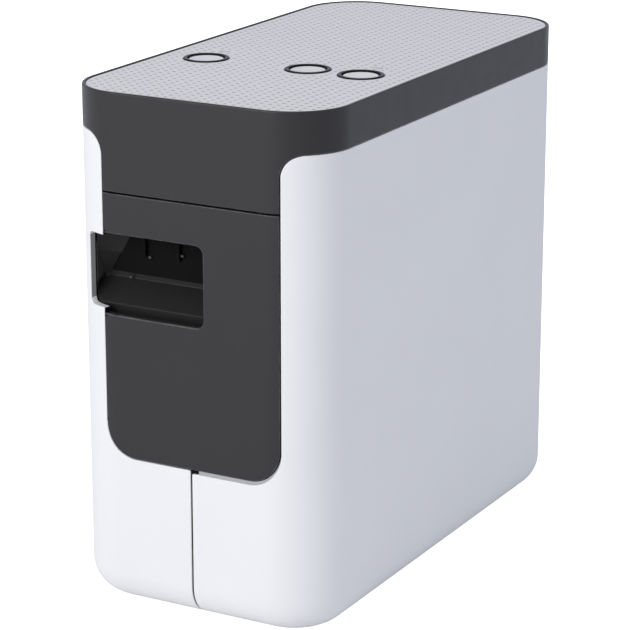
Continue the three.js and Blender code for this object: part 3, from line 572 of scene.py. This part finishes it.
def fill(skin, surface, loops, inner, depth=0.0, flip=False, slot=0, keep=None):
    """Covers the surface within the loops with triangles that also use the inner points."""
    points = np.concatenate(list(loops) + [inner]) if len(inner) else np.concatenate(loops)
    edges = []
    start = 0
    for loop in loops:
        edges += [(start + i, start + (i + 1) % len(loop)) for i in range(len(loop))]
        start += len(loop)
    _, _, faces, source, _, _ = delaunay_2d_cdt([Vector(p) for p in points], edges, [], 0, 1e-7)
    triangles = np.array([[source[i][0] for i in face] for face in faces if all(source[i] for i in face)])
    middle = points[triangles].mean(axis=1)
    wanted = inside(middle, loops if keep is None else keep[0])
    if keep is not None:
        wanted &= keep[1](middle)
    triangles = triangles[wanted]
    a, b, c = (points[triangles[:, k]] for k in range(3))
    area = (b[:, 0] - a[:, 0]) * (c[:, 1] - a[:, 1]) - (b[:, 1] - a[:, 1]) * (c[:, 0] - a[:, 0])
    triangles[area < 0] = triangles[area < 0][:, ::-1]
    triangles = triangles[np.abs(area) > 1e-9]
    if flip:
        triangles = triangles[:, ::-1]
    place, normal, _, _ = at_depth(surface, points, depth)
    skin.add(place[triangles], (-normal if flip else normal)[triangles], slot)


def straight(loop, _depth):
    """An edge that goes in square to the surface."""
    return loop


def rim(skin, surface, loop, edge, thick, closed=True, slot=0, pull=straight):
    """The rounded edge along a loop and the wall below it, down to the moulding's thickness.

    pull says where the loop runs at a depth, for an edge that isn't square to the surface."""
    mitre, at_start, at_end = sides(loop, closed)
    edge = np.broadcast_to(edge, len(loop)).reshape(-1, 1)
    rows = []
    for degrees in EDGE_STEPS:
        angle = math.radians(degrees)
        depth = edge * (1 - math.cos(angle))
        st = pull(loop, depth[:, 0]) - mitre * edge * (1 - math.sin(angle))
        rows.append((angle, at_depth(surface, st, depth)[0]))
    rows.append((math.pi / 2, at_depth(surface, pull(loop, thick), thick)[0]))
    _, normal, along, up = surface(loop)
    i = np.arange(len(loop) if closed else len(loop) - 1)
    j = (i + 1) % len(loop)

    def facing(side, at, angle):
        """The normal that far round the edge."""
        out = along[at] * side[:, :1] + up[at] * side[:, 1:]
        return normal[at] * math.cos(angle) + out * math.sin(angle)

    for (angle_a, high), (angle_b, low) in zip(rows, rows[1:]):
        places = np.stack([low[i], low[j], high[j], high[i]], axis=1)
        normals = np.stack([
            facing(at_start[i], i, angle_b), facing(at_end[i], j, angle_b),
            facing(at_end[i], j, angle_a), facing(at_start[i], i, angle_a)], axis=1)
        high_wear, low_wear = (math.sin(2 * a) if a < 1.5 else 0.0 for a in (angle_a, angle_b))
        skin.add(places, normals, slot, (low_wear, low_wear, high_wear, high_wear))
    return loop - mitre * edge


def sheet(skin, surface, loops, grid, thick, edge, slot=0, pull=straight):
    """A moulding of even thickness with rounded outer edges, over the surface within the loops."""
    edges = edge if isinstance(edge, list) else [edge] * len(loops)
    tops = [rim(skin, surface, loop, e, thick, slot=slot, pull=pull) for loop, e in zip(loops, edges)]
    lows = [pull(loop, thick) for loop in loops]
    for depth, outlines, flip in ((0.0, tops, False), (thick, lows, True)):
        inner = grid[inside(grid, outlines)] if len(grid) else grid
        if len(inner):
            inner = inner[clear_of(inner, outlines, GRID_CLEAR)]
        fill(skin, surface, outlines, inner, depth, flip, slot)


def strips(skin, rows):
    """Quads between closed rows of (places, normals)."""
    for (high, high_normal), (low, low_normal) in zip(rows, rows[1:]):
        i = np.arange(len(high))
        j = (i + 1) % len(high)
        skin.add(np.stack([low[i], low[j], high[j], high[i]], axis=1),
                 np.stack([low_normal[i], low_normal[j], high_normal[j], high_normal[i]], axis=1))


def lathe(skin, profile, centre, count=64):
    """Turns a profile of (radius, height) pairs, going down the outside, about an upright axis."""
    ring = unit_ring(count)
    closed = profile[0] == profile[-1]
    points = np.array(profile[:-1] if closed else profile, float)
    segments = np.diff(np.array(profile, float), axis=0)
    segments = segments / np.linalg.norm(segments, axis=1)[:, None]
    normals = np.stack([-segments[:, 1], segments[:, 0]], axis=1)
    for k in range(len(segments)):
        p, q = points[k], points[(k + 1) % len(points)]

        def blend(other):
            """The normal shared with a neighbouring side, unless the profile turns sharply there."""
            if other is None or other @ normals[k] < SMOOTH_PROFILE:
                return normals[k]
            return (other + normals[k]) / np.linalg.norm(other + normals[k])

        before = normals[k - 1] if k > 0 or closed else None
        after = normals[(k + 1) % len(segments)] if k + 1 < len(segments) or closed else None
        rows = []
        for (radius, z), normal in ((p, blend(before)), (q, blend(after))):
            rows.append((lifted(ring * radius + centre, z), lifted(ring * normal[0], normal[1])))
        strips(skin, rows)


def arc_points(centre, radius, start, end, parts=5):
    """Profile points along an arc, in degrees."""
    angles = [math.radians(start + (end - start) * k / parts) for k in range(parts + 1)]
    return [(centre[0] + radius * math.cos(a), centre[1] + radius * math.sin(a)) for a in angles]


def knob(radius, high, low, edge):
    """The profile of an upright pin with rounded ends."""
    return ([(0, high)] + arc_points((radius - edge, high - edge), edge, 90, 0, 3)
            + arc_points((radius - edge, low + edge), edge, 0, -90, 3) + [(0, low)])


def brick(skin, low, high, edge):
    """A box from low to high with small rounded edges."""
    low, high = np.array(low, float), np.array(high, float)
    axes = np.eye(3)

    def corner(sign, axis):
        """Where the corner's rounding meets the face across that axis, and its normal."""
        inner = (low + high) / 2 + sign * ((high - low) / 2 - edge)
        return inner + sign * axes[axis] * edge, sign * axes[axis]

    faces = []
    for a in range(3):
        b, c = (a + 1) % 3, (a + 2) % 3
        for side in (-1, 1):
            turns = ((-1, -1), (1, -1), (1, 1), (-1, 1))
            faces.append([corner(side * axes[a] + u * axes[b] + v * axes[c], a) for u, v in turns])
        for u in (-1, 1):
            for v in (-1, 1):
                start, end = (side * axes[a] + u * axes[b] + v * axes[c] for side in (-1, 1))
                faces.append([corner(start, b), corner(start, c), corner(end, c), corner(end, b)])
    for x in (-1, 1):
        for y in (-1, 1):
            for z in (-1, 1):
                faces.append([corner(np.array([x, y, z]), a) for a in range(3)])
    for face in faces:
        places, normals = (np.array(part) for part in zip(*face))
        turn = np.cross(places[1] - places[0], places[2] - places[1]) @ normals.sum(axis=0)
        order = slice(None) if turn > 0 else slice(None, None, -1)
        skin.add(places[order][None], normals[order][None])


def spaced(start, end, step):
    """Even values from start to end, no more than step apart."""
    return np.linspace(start, end, max(2, math.ceil((end - start) / step) + 1))


def grid_of(columns, rows):
    """Every pair of a column and a row."""
    return np.stack(np.meshgrid(columns, rows), axis=-1).reshape(-1, 2)


columns = np.concatenate([around(), around() + AROUND])
under_rows = spaced(UNDER_LOW + 0.6, TURN_Z, 1.0)
wall_rows = spaced(TURN_Z + 3, BAND_LOW, 4.0)
case_grid = np.concatenate([grid_of(columns, under_rows), grid_of(columns, wall_rows)])


# ---------- Case mouldings ----------

nothing = np.zeros((0, 2))
left, right, panel_low, panel_high = PANEL
white_top = BAND_LOW - 0.15
white_right = right + SEAM_GAP
half_way = AROUND / 2  # distance round to the middle of the rear


def left_side(y):
    """Distance round the case, backwards from the front, of the place y on the left side."""
    return -(FLAT_X + ARC + FLAT_Y + y)


main_skin = Skin()
shell_end = left_side(SHELL_END_Y) + AROUND + 0.01
under_end = left_side(UNDER_END_Y) + AROUND
main_corners = [
    (SEAM[1], UNDER_LOW, 0),
    (beyond(under_end), UNDER_LOW, 0),
    (beyond(under_end), UNDER_END_TOP, 0),
    (beyond(shell_end), UNDER_END_TOP, 0),
    (beyond(shell_end), white_top, 0),
    (white_right, white_top, APRON_CORNER - SEAM_GAP),
    (white_right, panel_low - LEDGE, PANEL_CORNER + 0.3),
    (SEAM[1], panel_low - LEDGE, 0.5),
]
main_loop = unroll(rounded(main_corners))
usb_near, usb_far = half_way - USB[0] + SOCKET_GAP, half_way - USB[1] - SOCKET_GAP
usb_low, usb_high = USB[2] - SOCKET_GAP, USB[3] + SOCKET_GAP
usb_hole = densify([(usb_far, usb_low), (usb_far, usb_high), (usb_near, usb_high), (usb_near, usb_low)])
power_hole = circle(half_way - POWER[0], POWER[1], POWER[2] + SOCKET_GAP)
sheet(main_skin, case_surface, [main_loop, usb_hole, power_hole], case_grid, WALL, EDGE)
# The sill under the panel, drawn in shaded white as painted shade, the shelf and wall behind it, and the
# hinge's lower knuckle with its web.
sill_low, sill_high = panel_low - LEDGE - 0.05, panel_low - 0.2
sill_corners = [
    (SILL_LEFT, sill_low, 0),
    (white_right + 0.05, sill_low, PANEL_CORNER + 0.3),
    (white_right + 0.05, panel_low + PANEL_CORNER + 1, 0),
    (right + 0.18, panel_low + PANEL_CORNER + 1, 0),
    (right + 0.18, sill_high, PANEL_CORNER + 0.15),
    (SILL_LEFT, sill_high, 0),
]
sheet(main_skin, sunk(case_surface, SILL_DEPTH), [unroll(rounded(sill_corners))], nothing,
      WALL - SILL_DEPTH, 0.04, slot=1)
brick(main_skin, *SHELF, 0.2)
brick(main_skin, *FRONT_WALL, 0.2)
lathe(main_skin, knob(BARREL, KNUCKLE_Z[1], KNUCKLE_Z[0], 0.3), HINGE, 40)
brick(main_skin, *HINGE_WEB, 0.15)
main_skin.build("case_main", "machine", [WHITE, SHADE], ["main_shell"])


def pulled_back(loop, depth):
    """The notch's outline at a depth below the surface: it runs straight back from the front."""
    s, t = loop[:, 0], loop[:, 1]
    across = (np.abs(s) - FLAT_X) / CORNER
    turned = np.arcsin(np.clip(np.sin(across) * CORNER / (CORNER - depth), -1, 1))
    in_notch = (s < -FLAT_X - 3.8) & (s > -AROUND / 4) & (t > NOTCH[1] - 0.5) & (t < NOTCH[2] + 0.5)
    moved = np.where(in_notch, -(FLAT_X + CORNER * turned), s)
    return np.stack([moved, t], axis=1)


door_skin = Skin()
door_corners = [
    (beyond(left_side(DOOR_END_Y)), UNDER_LOW, 0),
    (SEAM[0], UNDER_LOW, 0),
    (SEAM[0], panel_low - SEAM_GAP, 0.4),
    (left - 0.1, panel_low - SEAM_GAP, PANEL_CORNER + SEAM_GAP),
    (left - 0.1, NOTCH[1], 0.3),
    (NOTCH[0], NOTCH[1], NOTCH_CORNER),
    (NOTCH[0], NOTCH[2], NOTCH_CORNER),
    (left - 0.1, NOTCH[2], 0.3),
    (left - 0.1, white_top, APRON_CORNER - SEAM_GAP),
    (beyond(left_side(DOOR_END_Y)), white_top, 0),
]
sheet(door_skin, case_surface, [unroll(rounded(door_corners))], case_grid - (AROUND, 0), WALL, EDGE,
      pull=pulled_back)
lathe(door_skin, knob(BARREL, BARREL_Z[1], BARREL_Z[0], 0.3), HINGE, 40)


def notch_end(middle, normal):
    """The upright wall at the notch's end, which faces the exit."""
    x, y, z = middle.T
    return (normal[:, 0] > FACING) & (x < left) & (y < FRONT_DEPTH) & (z > NOTCH[1]) & (z < NOTCH[2])


def beside_panel(middle, normal):
    """The shell's edge along the panel, which shows in the gap and at the exit."""
    x, y, z = middle.T
    on_edge = (normal[:, 0] > FACING) & (abs(x - left) < 1.2)
    return on_edge & (y < FRONT_DEPTH) & (z > panel_low + PANEL_CORNER)


# The notch's end wall takes the darker white: painted shade.
door_skin.reslot(1, notch_end)
# The shell's edge along the panel takes the dull black: painted shade in the gap.
door_skin.reslot(2, beside_panel)
door_skin.build("case_door", "tape_door", [WHITE, NOTCH_SHADE, SHADE_BLACK], ["cover_shell"])

# A black strip on the fixed half, behind the door's free edge and under the panel beside the sill, paints
# the shade in the seam.
seam_shade_skin = Skin()
seam_shade_outline = densify([
    (SEAM[0] + 0.04, UNDER_LOW + 0.1), (SEAM[1] - 0.06, UNDER_LOW + 0.1),
    (SEAM[1] - 0.06, panel_low - LEDGE - 0.2), (SEAM[1] + 0.2, panel_low - LEDGE + 0.1),
    (SILL_LEFT - 0.1, panel_low - LEDGE + 0.1), (SILL_LEFT - 0.1, panel_low - 0.2),
    (SEAM[0] + 0.04, panel_low - 0.2)])
sheet(seam_shade_skin, sunk(case_surface, SEAM_SHADE_DEPTH), [seam_shade_outline], nothing, 1.2, 0.05)
seam_shade_skin.build("seam_shade_strip", "machine", [SHADE_BLACK])

# A dull black sheet over the pocket's back and ribs, reaching over the slot, paints the deep shade in the
# pocket.
shade_sheet_skin = Skin()
back, on_back = plane((0, POCKET_BACK - 0.16, 0), (0, -1, 0), (1, 0, 0))
shade_sheet = [(4.8, 0, 91.7), (4.8, 0, POCKET_TOP), (-21.75, 0, POCKET_TOP), (-29.6, 0, 91.9)]
sheet(shade_sheet_skin, back, [densify(on_back(shade_sheet))], nothing, SHADE_SHEET_THICK, 0.03)
for x in POCKET_RIBS:
    brick(shade_sheet_skin, (x - 0.12, POCKET_BACK - 1.32, RIB_LOW), (x + 1.12, POCKET_BACK - 0.1, POCKET_TOP),
          0.1)
shade_sheet_skin.build("painted_shade_black", "machine", [SHADE_BLACK])

# The pocket's leaning left wall runs on over the slot.
cheek_skin = Skin()
lean, on_lean = plane(CHEEK_FOOT, (1, -POCKET_LEAN[0], -POCKET_LEAN[1]), (POCKET_LEAN[0], 1, 0))


def on_wall(y, z):
    """The place on the leaning wall at that depth and height."""
    x, foot_y, foot_z = CHEEK_FOOT
    return (x + POCKET_LEAN[0] * (y - foot_y) + POCKET_LEAN[1] * (z - foot_z), y, z)


cheek = [on_wall(-65.7, 97.3), on_wall(-69.0, 97.3), on_wall(-66.7, 91.4), on_wall(-65.7, 91.4)]
sheet(cheek_skin, sunk(lean, -CHEEK_PROUD), [densify(on_lean(cheek))], nothing, CHEEK_THICK, 0.04)
# A lighter sheet on the pocket's upright left wall paints the light that the leaning wall beside it
# catches.
side, on_side = plane((POCKET_LEFT, 0, 0), (1, 0, 0), (0, 1, 0))
beside = [(0, -70.15, 100.4), (0, -70.15, 89.6), (0, -66.75, 91.3)]
sheet(cheek_skin, sunk(side, -SIDE_PROUD), [densify(on_side(beside))], nothing, CHEEK_THICK, 0.04, slot=1)
cheek_skin.build("pocket_cheek", "machine", [SHADED_POCKET[0], POCKET_LIT_SIDE])

# The ends of the pocket's guides, drawn paler than the pocket: painted highlight.
peg_skin = Skin()
for x, y, z in POCKET_PEGS:
    brick(peg_skin, (x - PEG[0], y, z - PEG[2]), (x + PEG[0], y + PEG[1], z + PEG[2]), 0.15)
peg_skin.build("pocket_pegs", "machine", [PEG_HIGHLIGHT])

panel_skin = Skin()
panel_corners = [
    (left, panel_low, PANEL_CORNER),
    (right, panel_low, PANEL_CORNER),
    (right, panel_high, 0.3),
    (left, panel_high, 0.3),
    (left, EXIT[2], 0.2),
    (EXIT[0], EXIT[2], EXIT_CORNER),
    (EXIT[0], EXIT[1], EXIT_CORNER),
    (left, EXIT[1], 0.2),
]
panel_loop = unroll(rounded(panel_corners))
round_exit = ((panel_loop[:, 0] > left + 0.5) & (panel_loop[:, 0] < EXIT[0] + 0.5)
              & (panel_loop[:, 1] > EXIT[1] - 0.5) & (panel_loop[:, 1] < EXIT[2] + 0.5))
sheet(panel_skin, case_surface, [panel_loop], case_grid, WALL, [np.where(round_exit, EXIT_EDGE, EDGE)])
panel_skin.build("front_panel", "tape_door", [DARK], ["cover_panel"])


# ---------- Band, top plate and buttons ----------


def rim_rows(stops):
    """The band's top edge: over the rim and down to the floor of the plate's recess."""
    plan, out = track(stops)
    outer = RIM_TOP - RIM_START
    inner = 0.2
    profile = [(0.0, RIM_START, 0.0)]
    profile += [(outer - outer * math.cos(a), RIM_START + outer * math.sin(a), a)
                for a in np.radians((22.5, 45, 67.5, 90))]
    profile += [(RIM_INSET - inner + inner * math.sin(a), RIM_TOP - inner + inner * math.cos(a),
                 math.pi / 2 + a) for a in np.radians((0, 30, 60, 90))]
    profile.append((RIM_INSET, PLATE_FLOOR, math.pi))
    rows = []
    for inset, z, lean in profile:
        count = np.ones(len(stops))
        place, normal, _, _ = frame_at(plan, out, inset * count, z * count, lean * count)
        rows.append((place, normal))
    return rows[::-1]


def hole_wall(skin, loop, high, low):
    """The upright wall of a hole through a flat moulding, seen from inside the hole."""
    _, at_start, at_end = sides(loop)
    i = np.arange(len(loop))
    j = (i + 1) % len(loop)
    top, bottom = lifted(loop, high), lifted(loop, low)
    start, end = lifted(at_start, 0), lifted(at_end, 0)
    skin.add(np.stack([bottom[i], bottom[j], top[j], top[i]], axis=1),
             np.stack([start, end, end, start], axis=1))


cap_skin = Skin()
far = beyond(half_way)
cap_corners = [
    (-far, BAND_LOW, 0),
    (left, BAND_LOW, APRON_CORNER),
    (left, APRON_LOW, 0.3),
    (right, APRON_LOW, 0.3),
    (right, BAND_LOW, APRON_CORNER),
    (far, BAND_LOW, 0),
]
cap_low = unroll(rounded(cap_corners, closed=False))
cap_edge = rim(cap_skin, case_surface, cap_low, EDGE, WALL, closed=False)
ring_stops = np.append(around(), half_way)


def cap_wall(lower, top, depth, flip):
    """The band's upright face from its lower edge up to a height, closed at the middle of the rear."""
    upper = np.stack([ring_stops, np.full(len(ring_stops), top)], axis=1)[::-1]
    climb = spaced(lower[-1, 1], top, 2.5)[1:-1]
    up_side = np.stack([np.full(len(climb), half_way), climb], axis=1)
    down_side = np.stack([np.full(len(climb), -half_way), climb[::-1]], axis=1)
    loop = np.concatenate([lower, up_side, upper, down_side])
    rows = spaced(APRON_LOW + 3, top - 3, 3.0)
    inner = grid_of(ring_stops[1:-1], rows)
    inner = inner[inside(inner, [loop])]
    inner = inner[clear_of(inner, [loop], GRID_CLEAR)]
    fill(cap_skin, case_surface, [loop], inner, depth, flip)


cap_wall(cap_edge, RIM_START, 0.0, False)
cap_wall(cap_low, ROOF_LOW, WALL, True)
strips(cap_skin, rim_rows(ring_stops[:-1]))
cap_holes = [circle(x, BUTTON_Y, BEZEL_OUT + 0.1) for x in BUTTONS.values()]
cap_holes += [light_hole(x, 0.2) for x in LIGHTS]
fill(cap_skin, flat_surface(PLATE_FLOOR), [plan_loop(RIM_INSET)] + cap_holes, nothing)
fill(cap_skin, flat_surface(ROOF_LOW), [plan_loop(WALL)] + cap_holes, nothing, flip=True)
for hole in cap_holes:
    hole_wall(cap_skin, hole, PLATE_FLOOR, ROOF_LOW)
for (x, y), radius, low in [(HINGE, BARREL, BAND_LOW)] + [(at, *BOARD_POST) for at in BOARD_POSTS]:
    lathe(cap_skin, [(0, ROOF_LOW + 1), (radius, ROOF_LOW + 1), (radius, low + 0.2), (radius - 0.2, low),
                     (0, low)], (x, y), 32)
cap_skin.build("top_band", "machine", [DARK], ["top_cap"])

plate_skin = Skin()
plate_outline = plan_loop(PLATE_INSET)
plate_face = flat_surface(PLATE_TOP)
plate_thick = PLATE_TOP - PLATE_FLOOR - 0.05
plate_tops = [rim(plate_skin, plate_face, loop, PLATE_EDGE, plate_thick)
              for loop in [plate_outline] + cap_holes]
fill(plate_skin, plate_face, [plate_outline] + cap_holes, nothing, plate_thick, True)
dots = grid_of(*(np.arange(-count, count + 1) * pitch for count, pitch in zip(DOT_COUNT, DOT_PITCH)))
dots = dots[inside(dots, [plate_outline])]
dots = dots[clear_of(dots, plate_tops, DOT_RADIUS + 0.5)]
dots = dots[clear_of(dots, [np.array([[x, BUTTON_Y] for x in BUTTONS.values()])], BEZEL_OUT + 1.2)]
dot_ring = unit_ring(DOT_SIDES, -1)
dot_loops = [dot + dot_ring * DOT_RADIUS for dot in dots]


def off_dots(points):
    """Which places lie outside every dimple's mouth."""
    steps = np.array(DOT_PITCH)
    nearest = np.round(points / steps) * steps
    is_dot = {tuple(np.round(d / steps).astype(int)) for d in dots}
    on_lattice = np.array([tuple(np.round(p / steps).astype(int)) in is_dot for p in points])
    return ~on_lattice | (np.linalg.norm(points - nearest, axis=1) > DOT_RADIUS * 0.91)


fill(plate_skin, plate_face, plate_tops + dot_loops, nothing, keep=(plate_tops, off_dots))
centres = np.repeat(lifted(dots, PLATE_TOP)[:, None, :], DOT_SIDES, axis=1)
ring = lifted(dot_ring, 0)[None]
upright = np.broadcast_to(np.array([0, 0, 1.0]), centres.shape)
lip = centres + ring * DOT_RADIUS
bottom = centres + ring * DOT_RADIUS * DOT_FLOOR - (0, 0, DOT_DEPTH)
slope = (upright - ring * 0.8) / np.linalg.norm([1, 0.8])
after = np.roll(np.arange(DOT_SIDES), -1)
dimple = np.stack([lip, lip[:, after], bottom[:, after], bottom], axis=2)[:, :, ::-1]
slopes = np.stack([slope, slope[:, after], slope[:, after], slope], axis=2)[:, :, ::-1]
plate_skin.add(dimple.reshape(-1, 4, 3), np.broadcast_to(slopes, dimple.shape).reshape(-1, 4, 3), 1)
plate_skin.add(bottom[:, ::-1], upright, 1)
plate_skin.build("top_plate_face", "machine", [PLATE, DOT], ["top_plate"])

crown = PLATE_TOP - 0.1
for name, x in BUTTONS.items():
    # A key's face is dished, and its stem goes down to a switch on the board.
    key_skin = Skin()
    lathe(key_skin, [(0, crown - 0.28), (2.4, crown - 0.22), (3.9, crown - 0.1), (4.35, crown - 0.01)]
          + arc_points((BUTTON_RADIUS - 0.4, crown - 0.4), 0.4, 90, 0, 5)
          + [(BUTTON_RADIUS, crown - 2.5), (2.1, crown - 2.55), (2.0, 133.9), (0, 133.9)],
          (x, BUTTON_Y))
    key_skin.build(f"{name}_key_cap", f"{name}_key", [KEY], [f"{name}_button"])
    ring_skin = Skin()
    soft = 0.14
    profile = ([(BEZEL_IN, ROOF_LOW + 0.1)]
               + arc_points((BEZEL_IN + soft, RIM_TOP - soft), soft, 180, 90, 3)
               + arc_points((BEZEL_OUT - soft, RIM_TOP - soft), soft, 90, 0, 3)
               + [(BEZEL_OUT, ROOF_LOW + 0.1)])
    lathe(ring_skin, profile + [profile[0]], (x, BUTTON_Y))
    ring_skin.build(f"{name}_ring", "machine", [GLOSS], [f"{name}_bezel"])


# ---------- Parts kept from the frame ----------

FINISH = {
    "base_tray": BLACK, "battery_cover": BLACK, "inner_frame": BLACK, "exit_chute": SHADED_POCKET,
    "foot_": RUBBER, "base_screw_": STEEL, "cover_liner": BLACK, "hinge_pin_": STEEL,
    "button_board": BOARD, "power_light_pipe": LENS, "mode_light_pipe": LENS, "drive_bracket": STEEL,
    "drive_motor": STEEL, "motor_pinion": GEAR, "idler_gear": GEAR, "ribbon_spindle": GEAR,
    "roller_holder": BLACK, "platen_shaft": STEEL, "platen_roller": RUBBER, "head_bracket": STEEL,
    "print_head": HEAD, "cutter_motor": STEEL, "cutter_pinion": GEAR, "cutter_gear": GEAR,
    "blade_carrier": SHADED_POCKET, "moving_blade": SHADED_BLADE, "fixed_blade": SHADED_BLADE, "cassette_case": CASSETTE,
    "tape_roll": TAPE, "label_tape": TAPE, "main_board": BOARD, "socket_board": BOARD,
    "usb_socket": STEEL, "power_socket": BLACK, "contact_strip_": STEEL, "battery_": SLEEVE,
}
BEVEL = {
    "base_tray": 0.25, "battery_cover": 0.3, "inner_frame": 0.3, "exit_chute": 0.2, "foot_": 0.3,
    "cover_liner": 0.2, "drive_bracket": 0.1, "roller_holder": 0.3, "head_bracket": 0.15,
    "blade_carrier": 0.1, "cassette_case": 0.35, "usb_socket": 0.12, "power_socket": 0.2,
    "battery_": 0.35, "platen_roller": 0.3, "tape_roll": 0.15,
}


SAME_PLACE = 1e-6  # metres between corners that are one
FLAT_WITHIN = math.radians(0.5)
BEVEL_FROM = math.radians(40)
SHARP_FROM = math.radians(30)


def look_up(table, node):
    """The value of the longest name in the table that the node's name starts with."""
    fits = [key for key in table if node.startswith(key)]
    return table[max(fits, key=len)] if fits else None


for node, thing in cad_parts.items():
    if look_up(FINISH, node) is None:
        continue
    thing.data.materials.clear()
    for made in look_up(FINISH, node):
        thing.data.materials.append(made)
    width = look_up(BEVEL, node)
    if width:
        weld = thing.modifiers.new("weld", "WELD")
        weld.merge_threshold = SAME_PLACE
        flats = thing.modifiers.new("flats", "DECIMATE")
        flats.decimate_type = "DISSOLVE"
        flats.angle_limit = FLAT_WITHIN
        bevel = thing.modifiers.new("edges", "BEVEL")
        bevel.width = width * MM
        bevel.segments = 2
        bevel.limit_method = "ANGLE"
        bevel.angle_limit = BEVEL_FROM
        bevel.material = 1
        flat = thing.modifiers.new("flat_faces", "WEIGHTED_NORMAL")
        flat.mode = "FACE_AREA"
        flat.weight = 100
        flat.keep_sharp = True
    for polygon in thing.data.polygons:
        polygon.use_smooth = True
    thing.data.set_sharp_from_angle(angle=SHARP_FROM)


# ---------- Stage ----------

floor_mesh = bpy.data.meshes.new("floor")
floor_mesh.from_pydata([(-FLOOR_REACH, -FLOOR_REACH, 0), (FLOOR_REACH, -FLOOR_REACH, 0),
                        (FLOOR_REACH, FLOOR_REACH, 0), (-FLOOR_REACH, FLOOR_REACH, 0)],
                       [], [(0, 1, 2, 3)])
floor_mesh.materials.append(FLOOR)
# The floor glows for the camera alone, so that it stays plain without lighting the machine.
floor_shader = FLOOR.node_tree.nodes["Principled BSDF"]
floor_shader.inputs["Emission Color"].default_value = (1, 1, 1, 1)
to_camera = FLOOR.node_tree.nodes.new("ShaderNodeLightPath").outputs["Is Camera Ray"]
FLOOR.node_tree.links.new(to_camera, floor_shader.inputs["Emission Strength"])
floor = bpy.data.objects.new("floor", floor_mesh)
bpy.context.scene.collection.objects.link(floor)

scene = bpy.context.scene
scene.view_settings.view_transform = "Standard"
scene.view_settings.look = "None"
world = bpy.data.worlds.new("studio")
world.use_nodes = True
scene.world = world
tree = world.node_tree
background = tree.nodes["Background"]
background.inputs["Color"].default_value = WORLD_COLOUR
background.inputs["Strength"].default_value = WORLD_LIGHT
bright = tree.nodes.new("ShaderNodeBackground")
bright.inputs["Color"].default_value = (1, 1, 1, 1)
bright.inputs["Strength"].default_value = BACKDROP_LIGHT
path = tree.nodes.new("ShaderNodeLightPath")
share = tree.nodes.new("ShaderNodeMixShader")
tree.links.new(path.outputs["Is Camera Ray"], share.inputs["Fac"])
tree.links.new(background.outputs["Background"], share.inputs[1])
tree.links.new(bright.outputs["Background"], share.inputs[2])
tree.links.new(share.outputs["Shader"], tree.nodes["World Output"].inputs["Surface"])


def soft_light(name, place, target, size, watts, colour=(1, 1, 1)):
    """A rectangular lamp at a place, turned to a target."""
    data = bpy.data.lights.new(name, "AREA")
    data.shape = "RECTANGLE"
    data.size, data.size_y = size
    data.energy = watts
    data.color = colour
    light = bpy.data.objects.new(name, data)
    light.location = place
    light.rotation_euler = (Vector(target) - Vector(place)).to_track_quat("-Z", "Y").to_euler()
    scene.collection.objects.link(light)


soft_light("key", (-0.35, -1.1, 0.55), (0, 0, 0.07), (0.6, 0.6), 6.5, (1.0, 0.971, 0.915))
soft_light("top", (0.0, -0.1, 1.2), (0, 0, 0.1), (0.45, 0.45), 1.2)

camera_data = bpy.data.cameras.new("camera")
camera_data.lens = 151.9
camera_data.sensor_width = 36.0
camera = bpy.data.objects.new("camera", camera_data)
camera.location = (0.34925, -0.64001, 0.28549)
aim = Vector((0.01797, -0.03993, 0.07934))
camera.rotation_euler = (aim - camera.location).to_track_quat("-Z", "Y").to_euler()
scene.collection.objects.link(camera)
scene.camera = camera
